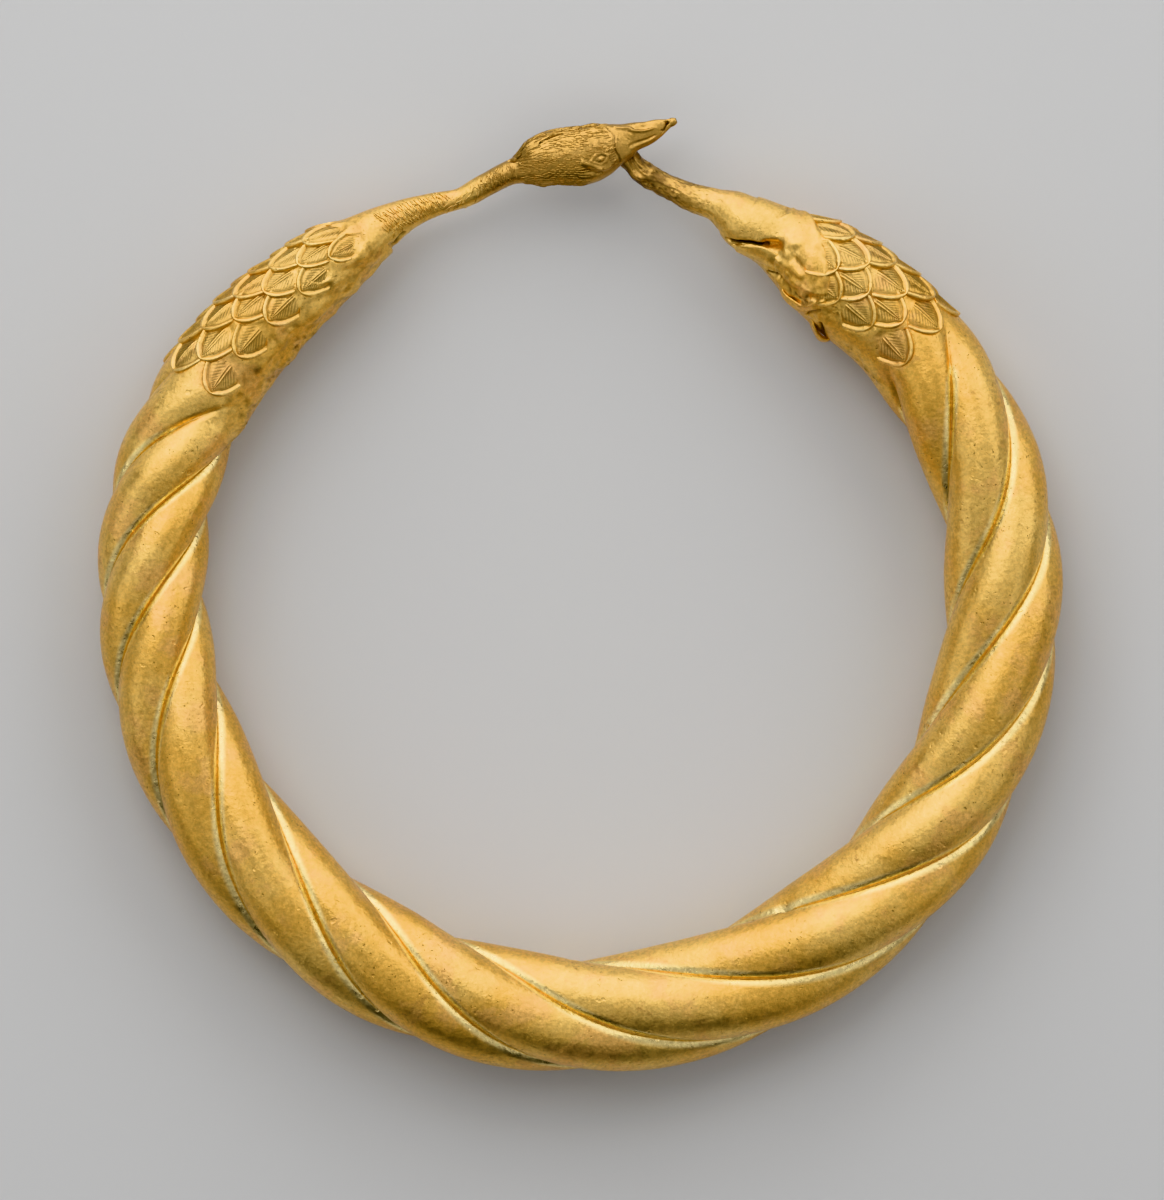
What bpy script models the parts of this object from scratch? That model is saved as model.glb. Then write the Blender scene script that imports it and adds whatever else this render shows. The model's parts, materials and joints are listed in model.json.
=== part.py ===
"""Gold armlet: one tube of sheet gold, raised into a hoop and twisted into four flutes.

Its two shoulders are chased with overlapping feathers and narrow into bird necks. The left
neck ends in a whole bird's head, which lies on its side with the bill over the right neck.
The right neck is broken off short, and its shoulder is torn on the inner side.

The armlet lies flat. Seen from above, +X is to the right and +Y runs from the middle of the
hoop to the crossing of the necks. Ring angles are in degrees, clockwise from +Y as seen from
above. Turn angles go round the tube: 0 is its outer side, 90 its top and 180 its inner side.
Sizes are in millimetres until the mesh is made.
"""

import bmesh
import bpy
import numpy as np

MM = 0.001

# The hoop and its tube.
HOOP_RADIUS = 46.2          # mean radius of the tube's centre line
TUBE_RADIUS = 6.75          # over the crests of the flutes, where the tube is thickest
REST_WEAR = 0.15            # how far the crests are worn flat underneath

# The twist.
FLUTES = 4
FLUTE_DEPTH = 1.45          # from a crest down to the bottom of a groove
GROOVE_SHARPNESS = 0.82     # below 1 the grooves are narrow and the flutes broad
# The ring angles where one groove after another crosses the top of the tube.
GROOVE_CROSSINGS = (46, 62, 79, 94, 113, 131, 155, 180, 200.5, 218.5, 239, 255.5, 268.5, 281, 293, 305)
FLUTES_START_ANGLES = (50, 60)      # the flutes fade in from nothing to full depth
FLUTES_END_ANGLES = (290, 303)      # and fade out again

# The feathers on the shoulders, in rows that run along the tube.
FEATHER_ANGLE = 6.3         # ring angle from one tip to the next in a row
RIGHT_ROW_ANGLE = 24.5      # turn angle from one row to the next
LEFT_ROW_ANGLE = 27.5
FEATHER_TIP = 0.62          # rounded end, as a share of the way from tip to tip
FEATHER_RELIEF = 0.46       # how far a feather's tip stands up over the next feather
FEATHER_SLOPE = 0.62        # from a tip back to where its feather is flat, as a share of that way
FEATHER_SINK = 0.12         # the flat of the feathers lies this far below the plain shoulder
RIGHT_TIPS_ANGLE = 54.0     # ring angle of the last tips in the rows counted 0, 2 and so on
LEFT_TIPS_ANGLE = 298.5
RIGHT_TURN = 106.0          # turn angle of row 0, on the inner side of the top
LEFT_TURN = 97.0
LAST_ROW = 6                # the rows run from the top over the outer side to the underside

# The necks, the head and its bill.
NECK_RADIUS = 1.15          # the left neck at its thinnest
HEAD_DEPTH = 6.4            # crown to throat
BILL_DEPTH = 3.6            # at its root
HEAD_HEIGHT = 6.9           # the head's middle above the floor
EYE_RADIUS = 0.6
EYE_RELIEF = 0.24
EYE_ANGLE = 362.5           # ring angle
EYE_TURN = 19.0             # turn angle from the middle of the cheek to the throat's side
STUMP_RADIUS = 1.35         # the broken right neck
STUMP_HOLLOW = 1.2          # depth of the open end
SHEET = 0.35                # thickness of the gold round the open end
CROSSING_GAP = 0.42         # clear height between the bill's edge and the broken neck
HEAD_RISE_ANGLES = (340, 358)       # the left neck rises from the hoop's height to the head's
STUMP_DIP_ANGLES = (22, 9)          # the broken neck falls to its end under the bill
BILL_EDGE = 0.7             # thickness near the bill's edge, as a share of its middle

# The tear between the right neck and its shoulder.
TEAR_WIDTH = 0.38
TEAR_DEPTH = 2.4            # below the top of the tube there
TEAR_LINE = ((22.4, 41.6), (23.6, 42.35), (25.6, 42.75), (27.6, 43.0), (29.2, 42.9))

# The net that the surface is drawn on.
COLUMNS = 32                # vertices round the tube
COLUMNS_PER_ROW = 3         # on the shoulders the columns crowd to this many for a feather row
CROWDED_COLUMNS = 9         # to each side of the middle row
SECTIONS_PER_FEATHER = 6
RIGHT_SECTIONS = 24         # sections on the right shoulder
LEFT_SECTIONS = 30
SHOULDER_ANGLE = FEATHER_ANGLE / SECTIONS_PER_FEATHER
RIGHT_ROOT_ANGLE = RIGHT_TIPS_ANGLE - RIGHT_SECTIONS * SHOULDER_ANGLE
LEFT_ROOT_ANGLE = LEFT_TIPS_ANGLE + LEFT_SECTIONS * SHOULDER_ANGLE
SECTION_STEPS = (           # from, to and step between sections, as ring angles
    (6.2, RIGHT_ROOT_ANGLE, 2.5),                                                # broken neck
    (RIGHT_ROOT_ANGLE, RIGHT_TIPS_ANGLE + SHOULDER_ANGLE, SHOULDER_ANGLE),       # right shoulder
    (RIGHT_TIPS_ANGLE + SHOULDER_ANGLE, 225.0, 5.6),                             # slow twist
    (225.0, LEFT_TIPS_ANGLE - SHOULDER_ANGLE, 3.5),                              # quick twist
    (LEFT_TIPS_ANGLE - SHOULDER_ANGLE, LEFT_ROOT_ANGLE, SHOULDER_ANGLE),         # left shoulder
    (LEFT_ROOT_ANGLE, 350.6, 1.9),                                               # left neck
    (350.6, 371.4, 1.04),                                                        # head and bill
)

# Sections by hand: ring angle, how far the centre line lies outside HOOP_RADIUS,
# half width as a share of the stretch's own size, and half height over half width.
STUMP_SECTIONS = (
    (6.2, 2.25, 0.80, 1.0), (7.4, 1.2, 0.83, 1.0), (9.3, 0.4, 1.0, 0.98), (12.5, -0.35, 1.08, 0.96),
    (16.0, -0.85, 1.27, 0.95), (18.6, -0.85, 1.38, 0.95),
)
HOOP_SECTIONS = (
    (21.2, -1.0, 0.385, 0.95), (24.0, -1.45, 0.485, 0.95), (28.0, -1.45, 0.545, 0.95), (32.0, -1.5, 0.675, 0.95),
    (36.0, -1.55, 0.81, 0.96), (42.0, -1.35, 0.885, 0.97), (50.0, -0.75, 0.885, 0.98), (62.0, -0.25, 0.965, 0.98),
    (78.0, 0.4, 0.965, 0.98), (95.0, 0.2, 1.01, 0.97), (120.0, 0.05, 1.015, 0.97), (150.0, -0.1, 1.03, 0.96),
    (180.0, 0.05, 1.0, 0.98), (215.0, -0.2, 0.995, 0.98), (240.0, 0.1, 0.985, 0.98), (262.0, 0.75, 0.94, 0.98),
    (283.0, 1.2, 0.91, 0.98), (297.0, 0.75, 0.86, 0.98), (310.0, -0.05, 0.79, 0.99), (318.0, -0.45, 0.7, 1.0),
    (323.0, -0.5, 0.65, 1.0), (327.0, -0.6, 0.53, 1.0), (331.0, -0.35, 0.4, 1.0),
)
NECK_SECTIONS = (
    (335.0, -0.2, 1.69, 1.0), (339.0, -0.35, 1.28, 1.0), (343.0, -0.65, 1.09, 1.0), (347.0, 0.05, 1.07, 1.0),
    (350.0, 0.75, 1.12, 1.0),
)
HEAD_SECTIONS = (
    (352.0, 1.05, 0.57, 0.82), (354.0, 1.45, 0.87, 0.74), (357.0, 1.95, 0.985, 0.72), (360.0, 2.0, 1.045, 0.7),
    (362.5, 2.7, 0.97, 0.68), (364.0, 3.25, 0.8, 0.68),
)
BILL_SECTIONS = (
    (365.1, 3.7, 1.25, 0.7), (366.5, 4.4, 0.96, 0.72), (368.1, 5.0, 0.81, 0.66), (369.3, 5.7, 0.66, 0.6),
    (370.4, 6.35, 0.4, 0.62), (371.4, 6.95, 0.11, 0.9),
)

# Torn edges and folds of the sheet: ring angle, turn angle, height, and reach both ways.
FOLDS = (
    (330.4, 178.0, 0.75, 0.7, 26.0),    # torn tab under the left neck's root
    (26.4, 168.0, 0.45, 1.3, 24.0),     # lip of the tear
    (38.2, 172.0, 0.30, 1.2, 22.0),     # fold below the tear
    (42.8, 176.0, 0.60, 0.8, 16.0),     # flap below the fold
)


def remove_old_objects():
    for old in list(bpy.data.objects):
        bpy.data.objects.remove(old, do_unlink=True)


def gold_material():
    gold = bpy.data.materials.new("gold")
    gold.use_nodes = True
    shader = gold.node_tree.nodes["Principled BSDF"]
    shader.inputs["Base Color"].default_value = (0.62, 0.39, 0.105, 1.0)
    shader.inputs["Metallic"].default_value = 1.0
    shader.inputs["Roughness"].default_value = 0.34
    return gold


def smooth_step(low, high, value):
    """0 below low, 1 above high, and a soft slope between them."""
    share = np.clip((value - low) / (high - low), 0.0, 1.0)
    return share * share * (3.0 - 2.0 * share)


def curve_through(xs, ys, value):
    """Smooth curve through hand-set values that never swings past them."""
    xs, ys = np.asarray(xs, float), np.asarray(ys, float)
    slopes = np.diff(ys) / np.diff(xs)
    tangents = np.empty_like(ys)
    tangents[0], tangents[-1] = slopes[0], slopes[-1]
    before, after = slopes[:-1], slopes[1:]
    same_way = before * after > 0
    total = np.where(same_way, before + after, 1.0)
    tangents[1:-1] = np.where(same_way, 2.0 * before * after / total, 0.0)
    place = np.clip(np.searchsorted(xs, value) - 1, 0, len(xs) - 2)
    width = xs[place + 1] - xs[place]
    t = (value - xs[place]) / width
    start, end = ys[place], ys[place + 1]
    return (start * (1 + 2 * t) * (1 - t) ** 2 + tangents[place] * width * t * (1 - t) ** 2
            + end * t * t * (3 - 2 * t) + tangents[place + 1] * width * t * t * (t - 1))


def all_sections():
    """Columns of ring angle, centre radius, half width and half height for the whole tube."""
    rows = []
    for sections, size in ((STUMP_SECTIONS, STUMP_RADIUS), (HOOP_SECTIONS, TUBE_RADIUS),
                           (NECK_SECTIONS, NECK_RADIUS), (HEAD_SECTIONS, HEAD_DEPTH / 2),
                           (BILL_SECTIONS, BILL_DEPTH / 2)):
        for angle, out, share, flatness in sections:
            rows.append((angle, HOOP_RADIUS + out, share * size, share * size * flatness))
    return np.array(rows).T


ANGLES, RADII, HALF_WIDTHS, HALF_HEIGHTS = all_sections()
LYING_ANGLES = (56.0, 296.0)    # the hoop's underside touches the floor between these ring angles


def middle_height(angle):
    """Height of the centre line. The hoop lies on the floor all along its underside, the head
    is held up, and the broken neck dips under the bill."""
    hoop = curve_through(ANGLES, HALF_HEIGHTS, np.clip(angle, *LYING_ANGLES)) - REST_WEAR
    share, flatness = BILL_SECTIONS[1][2:]
    under_bill = HEAD_HEIGHT - BILL_EDGE * share * flatness * BILL_DEPTH / 2
    stump = under_bill - CROSSING_GAP - STUMP_SECTIONS[0][2] * STUMP_RADIUS
    height = hoop + smooth_step(*HEAD_RISE_ANGLES, angle) * (HEAD_HEIGHT - hoop)
    return height + smooth_step(*STUMP_DIP_ANGLES, angle) * (stump - height)


def spine(angle):
    radius = curve_through(ANGLES, RADII, angle)
    turn = np.radians(angle)
    return np.stack([radius * np.sin(turn), radius * np.cos(turn), middle_height(angle)], -1)


def outward(angle):
    """Unit vector in the hoop's plane, square to the centre line and away from the middle."""
    step = 0.05
    along = spine(angle + step) - spine(angle - step)
    side = np.stack([-along[..., 1], along[..., 0], np.zeros_like(angle)], -1)
    return side / np.linalg.norm(side, axis=-1, keepdims=True)


def groove_turn(angle):
    """Turn angle of a groove at a ring angle. The others follow at equal turns."""
    marks = np.array(GROOVE_CROSSINGS, float)
    return 90.0 + 360.0 / FLUTES * curve_through(marks, np.arange(len(marks)), angle)


def flute_sinking(angle, turn):
    """How far the surface lies below the crests: broad round flutes, narrow grooves."""
    lobe = 360.0 / FLUTES
    share = np.abs((turn - groove_turn(angle)) / lobe % 1.0)
    shown = smooth_step(*FLUTES_START_ANGLES, angle) * (1 - smooth_step(*FLUTES_END_ANGLES, angle))
    depth = FLUTE_DEPTH * shown
    return depth * (1.0 - np.sin(np.pi * share) ** GROOVE_SHARPNESS)


def feather_height(behind_tips, from_row, last_row):
    """Height of overlapping feathers. behind_tips is the distance from the last tips of the
    even rows back to the neck, counted in feathers. from_row is the turn away from row 0,
    counted in rows. Odd rows lie half a feather back."""
    height = np.zeros_like(behind_tips)
    nearest = np.full_like(behind_tips, -1.0)
    for row in range(last_row + 1):
        sideways = np.abs(from_row - row)
        for copy in range(6):
            start = copy + 0.5 * (row % 2)
            behind = behind_tips - start + 0.03
            ahead = np.clip(1.0 - behind / FEATHER_TIP, 0.0, None)
            inside = np.hypot(sideways, ahead) < 1.02
            here = inside & (behind > 0) & (behind < 1.6) & (start > nearest)
            rise = np.clip(1.0 - behind / FEATHER_SLOPE, 0.0, 1.0)
            height = np.where(here, FEATHER_RELIEF * rise - FEATHER_SINK, height)
            nearest = np.where(here, start, nearest)
    return height


def turn_from(turn, zero):
    """Turn angle counted from zero towards the outer side, between -180 and 180."""
    return (zero - turn + 180.0) % 360.0 - 180.0


def shoulder_feathers(angle, turn):
    """Feathers of both shoulders, with their tips away from the necks."""
    right = feather_height((RIGHT_TIPS_ANGLE - angle) / FEATHER_ANGLE,
                           turn_from(turn, RIGHT_TURN) / RIGHT_ROW_ANGLE, LAST_ROW)
    left = feather_height((angle - LEFT_TIPS_ANGLE) / FEATHER_ANGLE,
                          turn_from(turn, LEFT_TURN) / LEFT_ROW_ANGLE, LAST_ROW)
    right *= smooth_step(RIGHT_ROOT_ANGLE, RIGHT_ROOT_ANGLE + 2, angle) * (angle < 180)
    left *= smooth_step(LEFT_ROOT_ANGLE, LEFT_ROOT_ANGLE - 2, angle) * (angle > 180)
    return right + left


def folds(angle, turn):
    height = np.zeros_like(angle)
    for ring_angle, at_turn, rise, reach, turn_reach in FOLDS:
        away = (turn - at_turn + 180) % 360 - 180
        height += rise * np.exp(-((angle - ring_angle) / reach) ** 2 - (away / turn_reach) ** 2)
    return height


def eye_bump(angle, turn):
    """An eye on each cheek, nearer the throat than the crown."""
    height = np.zeros_like(angle)
    for at_turn in (90.0 + EYE_TURN, 270.0 - EYE_TURN):
        away_round = np.radians((turn - at_turn + 180) % 360 - 180) * HEAD_DEPTH / 2
        away_along = np.radians(angle - EYE_ANGLE) * HOOP_RADIUS
        away = np.hypot(away_round, away_along / 1.6) / EYE_RADIUS
        height += EYE_RELIEF * np.clip(1.0 - away ** 2, 0.0, None)
    return height


def surface(angle, turn):
    """Points of the armlet's skin for arrays of ring and turn angles, in millimetres."""
    half_width = curve_through(ANGLES, HALF_WIDTHS, angle)
    half_height = curve_through(ANGLES, HALF_HEIGHTS, angle)
    raised = shoulder_feathers(angle, turn) + folds(angle, turn) + eye_bump(angle, turn)
    raised -= flute_sinking(angle, turn)
    around = np.radians(turn)
    side = ((half_width + raised) * np.cos(around))[..., None] * outward(angle)
    up = ((half_height + raised) * np.sin(around))[..., None] * np.array([0.0, 0.0, 1.0])
    return spine(angle) + side + up


def section_angles():
    angles = []
    for start, stop, step in SECTION_STEPS:
        count = max(2, round((stop - start) / step))
        angles.extend(np.linspace(start, stop, count, endpoint=False))
    return np.array(angles + [SECTION_STEPS[-1][1]])


def crowd(turns, middle_turn, row_angle):
    """Draws even columns together round the feathers' middle row and apart on the far side."""
    step = 360.0 / COLUMNS
    middle = round(middle_turn / step) * step
    away = (turns - middle + 180.0) % 360.0 - 180.0
    near = row_angle / COLUMNS_PER_ROW / step
    reach = CROWDED_COLUMNS * step
    far = (180.0 - near * reach) / (180.0 - reach)
    moved = np.where(np.abs(away) < reach, near * away,
                     np.sign(away) * (near * reach + far * (np.abs(away) - reach)))
    return turns + moved - away + middle_turn - middle


def column_turns(angle):
    """Turn angles of one section's columns. They ride along the grooves of the twist, and on
    the shoulders they keep to the feather rows."""
    step = 360.0 / COLUMNS
    held = float(groove_turn(np.clip(angle, RIGHT_TIPS_ANGLE + 2, LEFT_TIPS_ANGLE - 2)))
    right = float(smooth_step(RIGHT_TIPS_ANGLE + 7, RIGHT_TIPS_ANGLE + 1, angle))
    left = float(smooth_step(LEFT_TIPS_ANGLE - 7, LEFT_TIPS_ANGLE - 1, angle))
    settled = right + left
    held += settled * (round(held / step) * step - held)
    turns = held + step * np.arange(COLUMNS)
    on_right = crowd(turns, RIGHT_TURN - LAST_ROW / 2 * RIGHT_ROW_ANGLE, RIGHT_ROW_ANGLE)
    on_left = crowd(turns, LEFT_TURN - LAST_ROW / 2 * LEFT_ROW_ANGLE, LEFT_ROW_ANGLE)
    return turns + right * (on_right - turns) + left * (on_left - turns)


def loft(sections):
    """A closed mesh through sections of as many points each, capped at both ends."""
    mesh = bmesh.new()
    rings = [[mesh.verts.new(point) for point in section] for section in sections]
    for ring, following in zip(rings, rings[1:]):
        for place in range(len(ring)):
            after = (place + 1) % len(ring)
            mesh.faces.new((ring[place], ring[after], following[after], following[place]))
    mesh.faces.new(rings[0])
    mesh.faces.new(rings[-1])
    bmesh.ops.recalc_face_normals(mesh, faces=mesh.faces)
    return mesh


def open_end(section):
    """The hollow in the broken neck's end: its floor first, then the inside of its rim."""
    centre = section.mean(axis=0)
    inner = centre + (section - centre) * (1 - SHEET / (0.8 * STUMP_RADIUS))
    inwards = spine(np.array(SECTION_STEPS[0][0] + 2.0)) - spine(np.array(SECTION_STEPS[0][0]))
    inwards = inwards / np.linalg.norm(inwards)
    return [inner + inwards * STUMP_HOLLOW, inner]


def make_armlet(collection, frame):
    sections = []
    for angle in section_angles():
        turns = column_turns(angle)
        sections.append(surface(np.full(COLUMNS, angle), turns))
    sections = open_end(sections[0]) + sections
    body = loft([section * MM for section in sections])
    data = bpy.data.meshes.new("armlet")
    body.to_mesh(data)
    body.free()
    armlet = bpy.data.objects.new("armlet", data)
    armlet.data.materials.append(gold_material())
    armlet.parent = frame
    collection.objects.link(armlet)
    split = armlet.modifiers.new("shortest diagonals", "TRIANGULATE")
    split.quad_method = "SHORTEST_DIAGONAL"
    return armlet


def hide_cutter(cutter, collection, frame):
    for other in cutter.users_collection:
        other.objects.unlink(cutter)
    collection.objects.link(cutter)
    cutter.parent = frame
    cutter.hide_render = True
    cutter.display_type = "WIRE"


def cut_from(armlet, cutter):
    cut = armlet.modifiers.new("cut by " + cutter.name, "BOOLEAN")
    cut.operation = "DIFFERENCE"
    cut.solver = "EXACT"
    cut.object = cutter


def make_rest_cutter(collection, frame):
    """A block under the floor plane. It wears the lowest crests flat, so the armlet lies still."""
    reach = 2.6 * (HOOP_RADIUS + TUBE_RADIUS) * MM
    bpy.ops.mesh.primitive_cube_add(size=reach, location=(0, 0, -reach / 2))
    cutter = bpy.context.object
    cutter.name = "rest_cutter"
    hide_cutter(cutter, collection, frame)
    return cutter


def make_tear_cutter(collection, frame):
    """A thin curved blade for the open tear between the right neck and the shoulder's lip."""
    sections = []
    for place, (angle, radius) in enumerate(TEAR_LINE):
        taper = 1.0 - 0.75 * place / (len(TEAR_LINE) - 1)
        half = TEAR_WIDTH / 2 * taper
        turn = np.radians(angle)
        ray = np.array([np.sin(turn), np.cos(turn), 0.0])
        middle = float(middle_height(angle))
        floor = middle + float(curve_through(ANGLES, HALF_HEIGHTS, angle)) - TEAR_DEPTH
        top = middle + TUBE_RADIUS
        corners = ((-half, floor), (half, floor), (half, top), (-half, top))
        sections.append([ray * (radius + off) + np.array([0.0, 0.0, height]) for off, height in corners])
    blade = loft([np.array(section) * MM for section in sections])
    data = bpy.data.meshes.new("tear_cutter")
    blade.to_mesh(data)
    blade.free()
    cutter = bpy.data.objects.new("tear_cutter", data)
    hide_cutter(cutter, collection, frame)
    return cutter


def centre_on_floor(armlet, frame):
    """Moves everything so that the middle of the armlet's outline stands over the origin."""
    points = np.array([vertex.co for vertex in armlet.data.vertices])
    middle = (points.min(axis=0) + points.max(axis=0)) / 2
    frame.location = (-middle[0], -middle[1], 0.0)


def main():
    remove_old_objects()
    parts = bpy.data.collections.new("gold_armlet")
    cutters = bpy.data.collections.new("cutters")
    bpy.context.scene.collection.children.link(parts)
    bpy.context.scene.collection.children.link(cutters)
    frame = bpy.data.objects.new("armlet_frame", None)
    parts.objects.link(frame)
    armlet = make_armlet(parts, frame)
    cut_from(armlet, make_rest_cutter(cutters, frame))
    cut_from(armlet, make_tear_cutter(cutters, frame))
    centre_on_floor(armlet, frame)
    bpy.context.view_layer.update()


main()
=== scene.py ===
# %% [markdown]
# # Gold armlet, its finish and chased work
# The real armlet is one tube of sheet gold. It was raised to a hoop, twisted into four flutes,
# and its shoulders and head were chased with small punches. The frame holds the plain solid.
# This script lays a fine skin over it, with the same section sizes, and chases that skin.

# %% Load the frame
import json
import bmesh
import bpy
import numpy as np
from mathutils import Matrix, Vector, noise
from mathutils.bvhtree import BVHTree

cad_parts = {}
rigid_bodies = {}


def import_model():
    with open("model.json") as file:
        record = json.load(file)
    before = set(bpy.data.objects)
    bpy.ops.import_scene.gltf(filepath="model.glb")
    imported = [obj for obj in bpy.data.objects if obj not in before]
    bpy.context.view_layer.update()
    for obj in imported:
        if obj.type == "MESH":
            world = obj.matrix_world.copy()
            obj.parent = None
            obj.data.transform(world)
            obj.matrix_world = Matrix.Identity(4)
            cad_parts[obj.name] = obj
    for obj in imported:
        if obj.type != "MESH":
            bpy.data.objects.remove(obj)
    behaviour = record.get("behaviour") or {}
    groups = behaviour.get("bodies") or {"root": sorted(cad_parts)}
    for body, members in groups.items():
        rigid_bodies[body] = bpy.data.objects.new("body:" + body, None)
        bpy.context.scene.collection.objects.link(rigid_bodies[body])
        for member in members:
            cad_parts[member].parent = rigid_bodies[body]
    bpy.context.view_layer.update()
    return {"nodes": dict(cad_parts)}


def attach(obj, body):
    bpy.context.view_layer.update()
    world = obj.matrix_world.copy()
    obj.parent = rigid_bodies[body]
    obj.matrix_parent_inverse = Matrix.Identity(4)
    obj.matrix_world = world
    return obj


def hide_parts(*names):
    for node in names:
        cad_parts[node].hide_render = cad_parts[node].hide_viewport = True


for left_over in list(bpy.data.objects):
    bpy.data.objects.remove(left_over)
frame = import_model()
MM = 0.001

# %% [markdown]
# ## The tube along its centre line
# Every place on the armlet has two angles. The ring angle runs round the hoop, clockwise from
# +Y. The turn angle runs round the tube: 0 is its outer side, 90 its top and 180 its inner side.
# The sections below are measured, in millimetres, and a smooth curve joins them.

# %% Sizes of the hoop
HOOP_RADIUS = 46.2          # to the tube's centre line
TUBE_RADIUS = 6.75
REST_WEAR = 0.15            # worn off the crests underneath
NECK_RADIUS = 1.15          # the left neck at its thinnest
HEAD_DEPTH = 6.4            # crown to throat
BILL_DEPTH = 3.6            # at its root
HEAD_HEIGHT = 6.9           # the head's middle above the floor
STUMP_RADIUS = 1.35         # the broken right neck
CROSSING_GAP = 0.42         # clear height between the bill's edge and the broken neck
HEAD_RISE_ANGLES = (340, 358)       # the left neck rises from the hoop's height to the head's
STUMP_DIP_ANGLES = (22, 9)          # the broken neck falls to its end under the bill
BILL_EDGE = 0.7             # thickness near the bill's edge, as a share of its middle
LYING_ANGLES = (56.0, 296.0)        # between these the tube's underside lies on the floor
SKIN_DEPTH = 0.05           # the skin lies this far inside the solid
print("the hoop is about", 2 * (HOOP_RADIUS + TUBE_RADIUS), "mm across")

# %% Sections: ring angle, centre line outside HOOP_RADIUS, share of the size, height over width
STUMP_SECTIONS = (
    (6.2, 2.25, 0.80, 1.0), (7.4, 1.2, 0.83, 1.0), (9.3, 0.4, 1.0, 0.98),
    (12.5, -0.35, 1.08, 0.96), (16.0, -0.85, 1.27, 0.95), (18.6, -0.85, 1.38, 0.95),
)
HOOP_SECTIONS = (
    (21.2, -1.0, 0.385, 0.95), (24.0, -1.45, 0.485, 0.95), (28.0, -1.45, 0.545, 0.95),
    (32.0, -1.5, 0.675, 0.95), (36.0, -1.55, 0.81, 0.96), (42.0, -1.35, 0.885, 0.97),
    (50.0, -0.75, 0.885, 0.98), (62.0, -0.25, 0.965, 0.98), (78.0, 0.4, 0.965, 0.98),
    (95.0, 0.2, 1.01, 0.97), (120.0, 0.05, 1.015, 0.97), (150.0, -0.1, 1.03, 0.96),
    (180.0, 0.05, 1.0, 0.98), (215.0, -0.2, 0.995, 0.98), (240.0, 0.1, 0.985, 0.98),
    (262.0, 0.75, 0.94, 0.98), (283.0, 1.2, 0.91, 0.98), (297.0, 0.75, 0.86, 0.98),
    (310.0, -0.05, 0.79, 0.99), (318.0, -0.45, 0.7, 1.0), (323.0, -0.5, 0.65, 1.0),
    (327.0, -0.6, 0.53, 1.0), (331.0, -0.35, 0.4, 1.0),
)
NECK_SECTIONS = (
    (335.0, -0.2, 1.69, 1.0), (339.0, -0.35, 1.28, 1.0), (343.0, -0.65, 1.09, 1.0),
    (347.0, 0.05, 1.07, 1.0), (350.0, 0.75, 1.12, 1.0),
)
HEAD_SECTIONS = (
    (352.0, 1.05, 0.57, 0.82), (354.0, 1.45, 0.87, 0.74), (357.0, 1.95, 0.985, 0.72),
    (360.0, 2.0, 1.045, 0.7), (362.5, 2.7, 0.97, 0.68), (364.0, 3.25, 0.8, 0.68),
)
BILL_SECTIONS = (
    (365.1, 3.7, 1.25, 0.7), (366.5, 4.4, 0.96, 0.72), (368.1, 5.0, 0.81, 0.66),
    (369.3, 5.7, 0.66, 0.6), (370.4, 6.35, 0.4, 0.62), (371.4, 6.95, 0.11, 0.9),
)


def all_sections():
    """Ring angle, centre radius, half width and half height for the whole tube."""
    rows = []
    for sections, size in ((STUMP_SECTIONS, STUMP_RADIUS), (HOOP_SECTIONS, TUBE_RADIUS),
                           (NECK_SECTIONS, NECK_RADIUS), (HEAD_SECTIONS, HEAD_DEPTH / 2),
                           (BILL_SECTIONS, BILL_DEPTH / 2)):
        for angle, out, share, flatness in sections:
            rows.append((angle, HOOP_RADIUS + out, share * size, share * size * flatness))
    return np.array(rows).T


ANGLES, RADII, HALF_WIDTHS, HALF_HEIGHTS = all_sections()
print(len(ANGLES), "sections from", ANGLES[0], "to", ANGLES[-1], "degrees")


# %% Smooth curves through the sections
def smooth_step(low, high, value):
    """0 below low, 1 above high, and a soft slope between them."""
    share = np.clip((value - low) / (high - low), 0.0, 1.0)
    return share * share * (3.0 - 2.0 * share)


def curve_through(xs, ys, value):
    """Smooth curve through given values that never swings past them."""
    xs, ys = np.asarray(xs, float), np.asarray(ys, float)
    slopes = np.diff(ys) / np.diff(xs)
    tangents = np.empty_like(ys)
    tangents[0], tangents[-1] = slopes[0], slopes[-1]
    before, after = slopes[:-1], slopes[1:]
    same_way = before * after > 0
    total = np.where(same_way, before + after, 1.0)
    tangents[1:-1] = np.where(same_way, 2.0 * before * after / total, 0.0)
    place = np.clip(np.searchsorted(xs, value) - 1, 0, len(xs) - 2)
    width = xs[place + 1] - xs[place]
    t = (value - xs[place]) / width
    start, end = ys[place], ys[place + 1]
    return (start * (1 + 2 * t) * (1 - t) ** 2 + tangents[place] * width * t * (1 - t) ** 2
            + end * t * t * (3 - 2 * t) + tangents[place + 1] * width * t * t * (t - 1))


def middle_height(angle):
    """Height of the centre line: the hoop lies on its underside, the head is held up, and the
    broken neck dips under the bill."""
    hoop = curve_through(ANGLES, HALF_HEIGHTS, np.clip(angle, *LYING_ANGLES)) - REST_WEAR
    share, flatness = BILL_SECTIONS[1][2:]
    under_bill = HEAD_HEIGHT - BILL_EDGE * share * flatness * BILL_DEPTH / 2
    stump = under_bill - CROSSING_GAP - STUMP_SECTIONS[0][2] * STUMP_RADIUS
    height = hoop + smooth_step(*HEAD_RISE_ANGLES, angle) * (HEAD_HEIGHT - hoop)
    return height + smooth_step(*STUMP_DIP_ANGLES, angle) * (stump - height)


def spine(angle):
    radius = curve_through(ANGLES, RADII, angle)
    turn = np.radians(angle)
    return np.stack([radius * np.sin(turn), radius * np.cos(turn), middle_height(angle)], -1)


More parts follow.
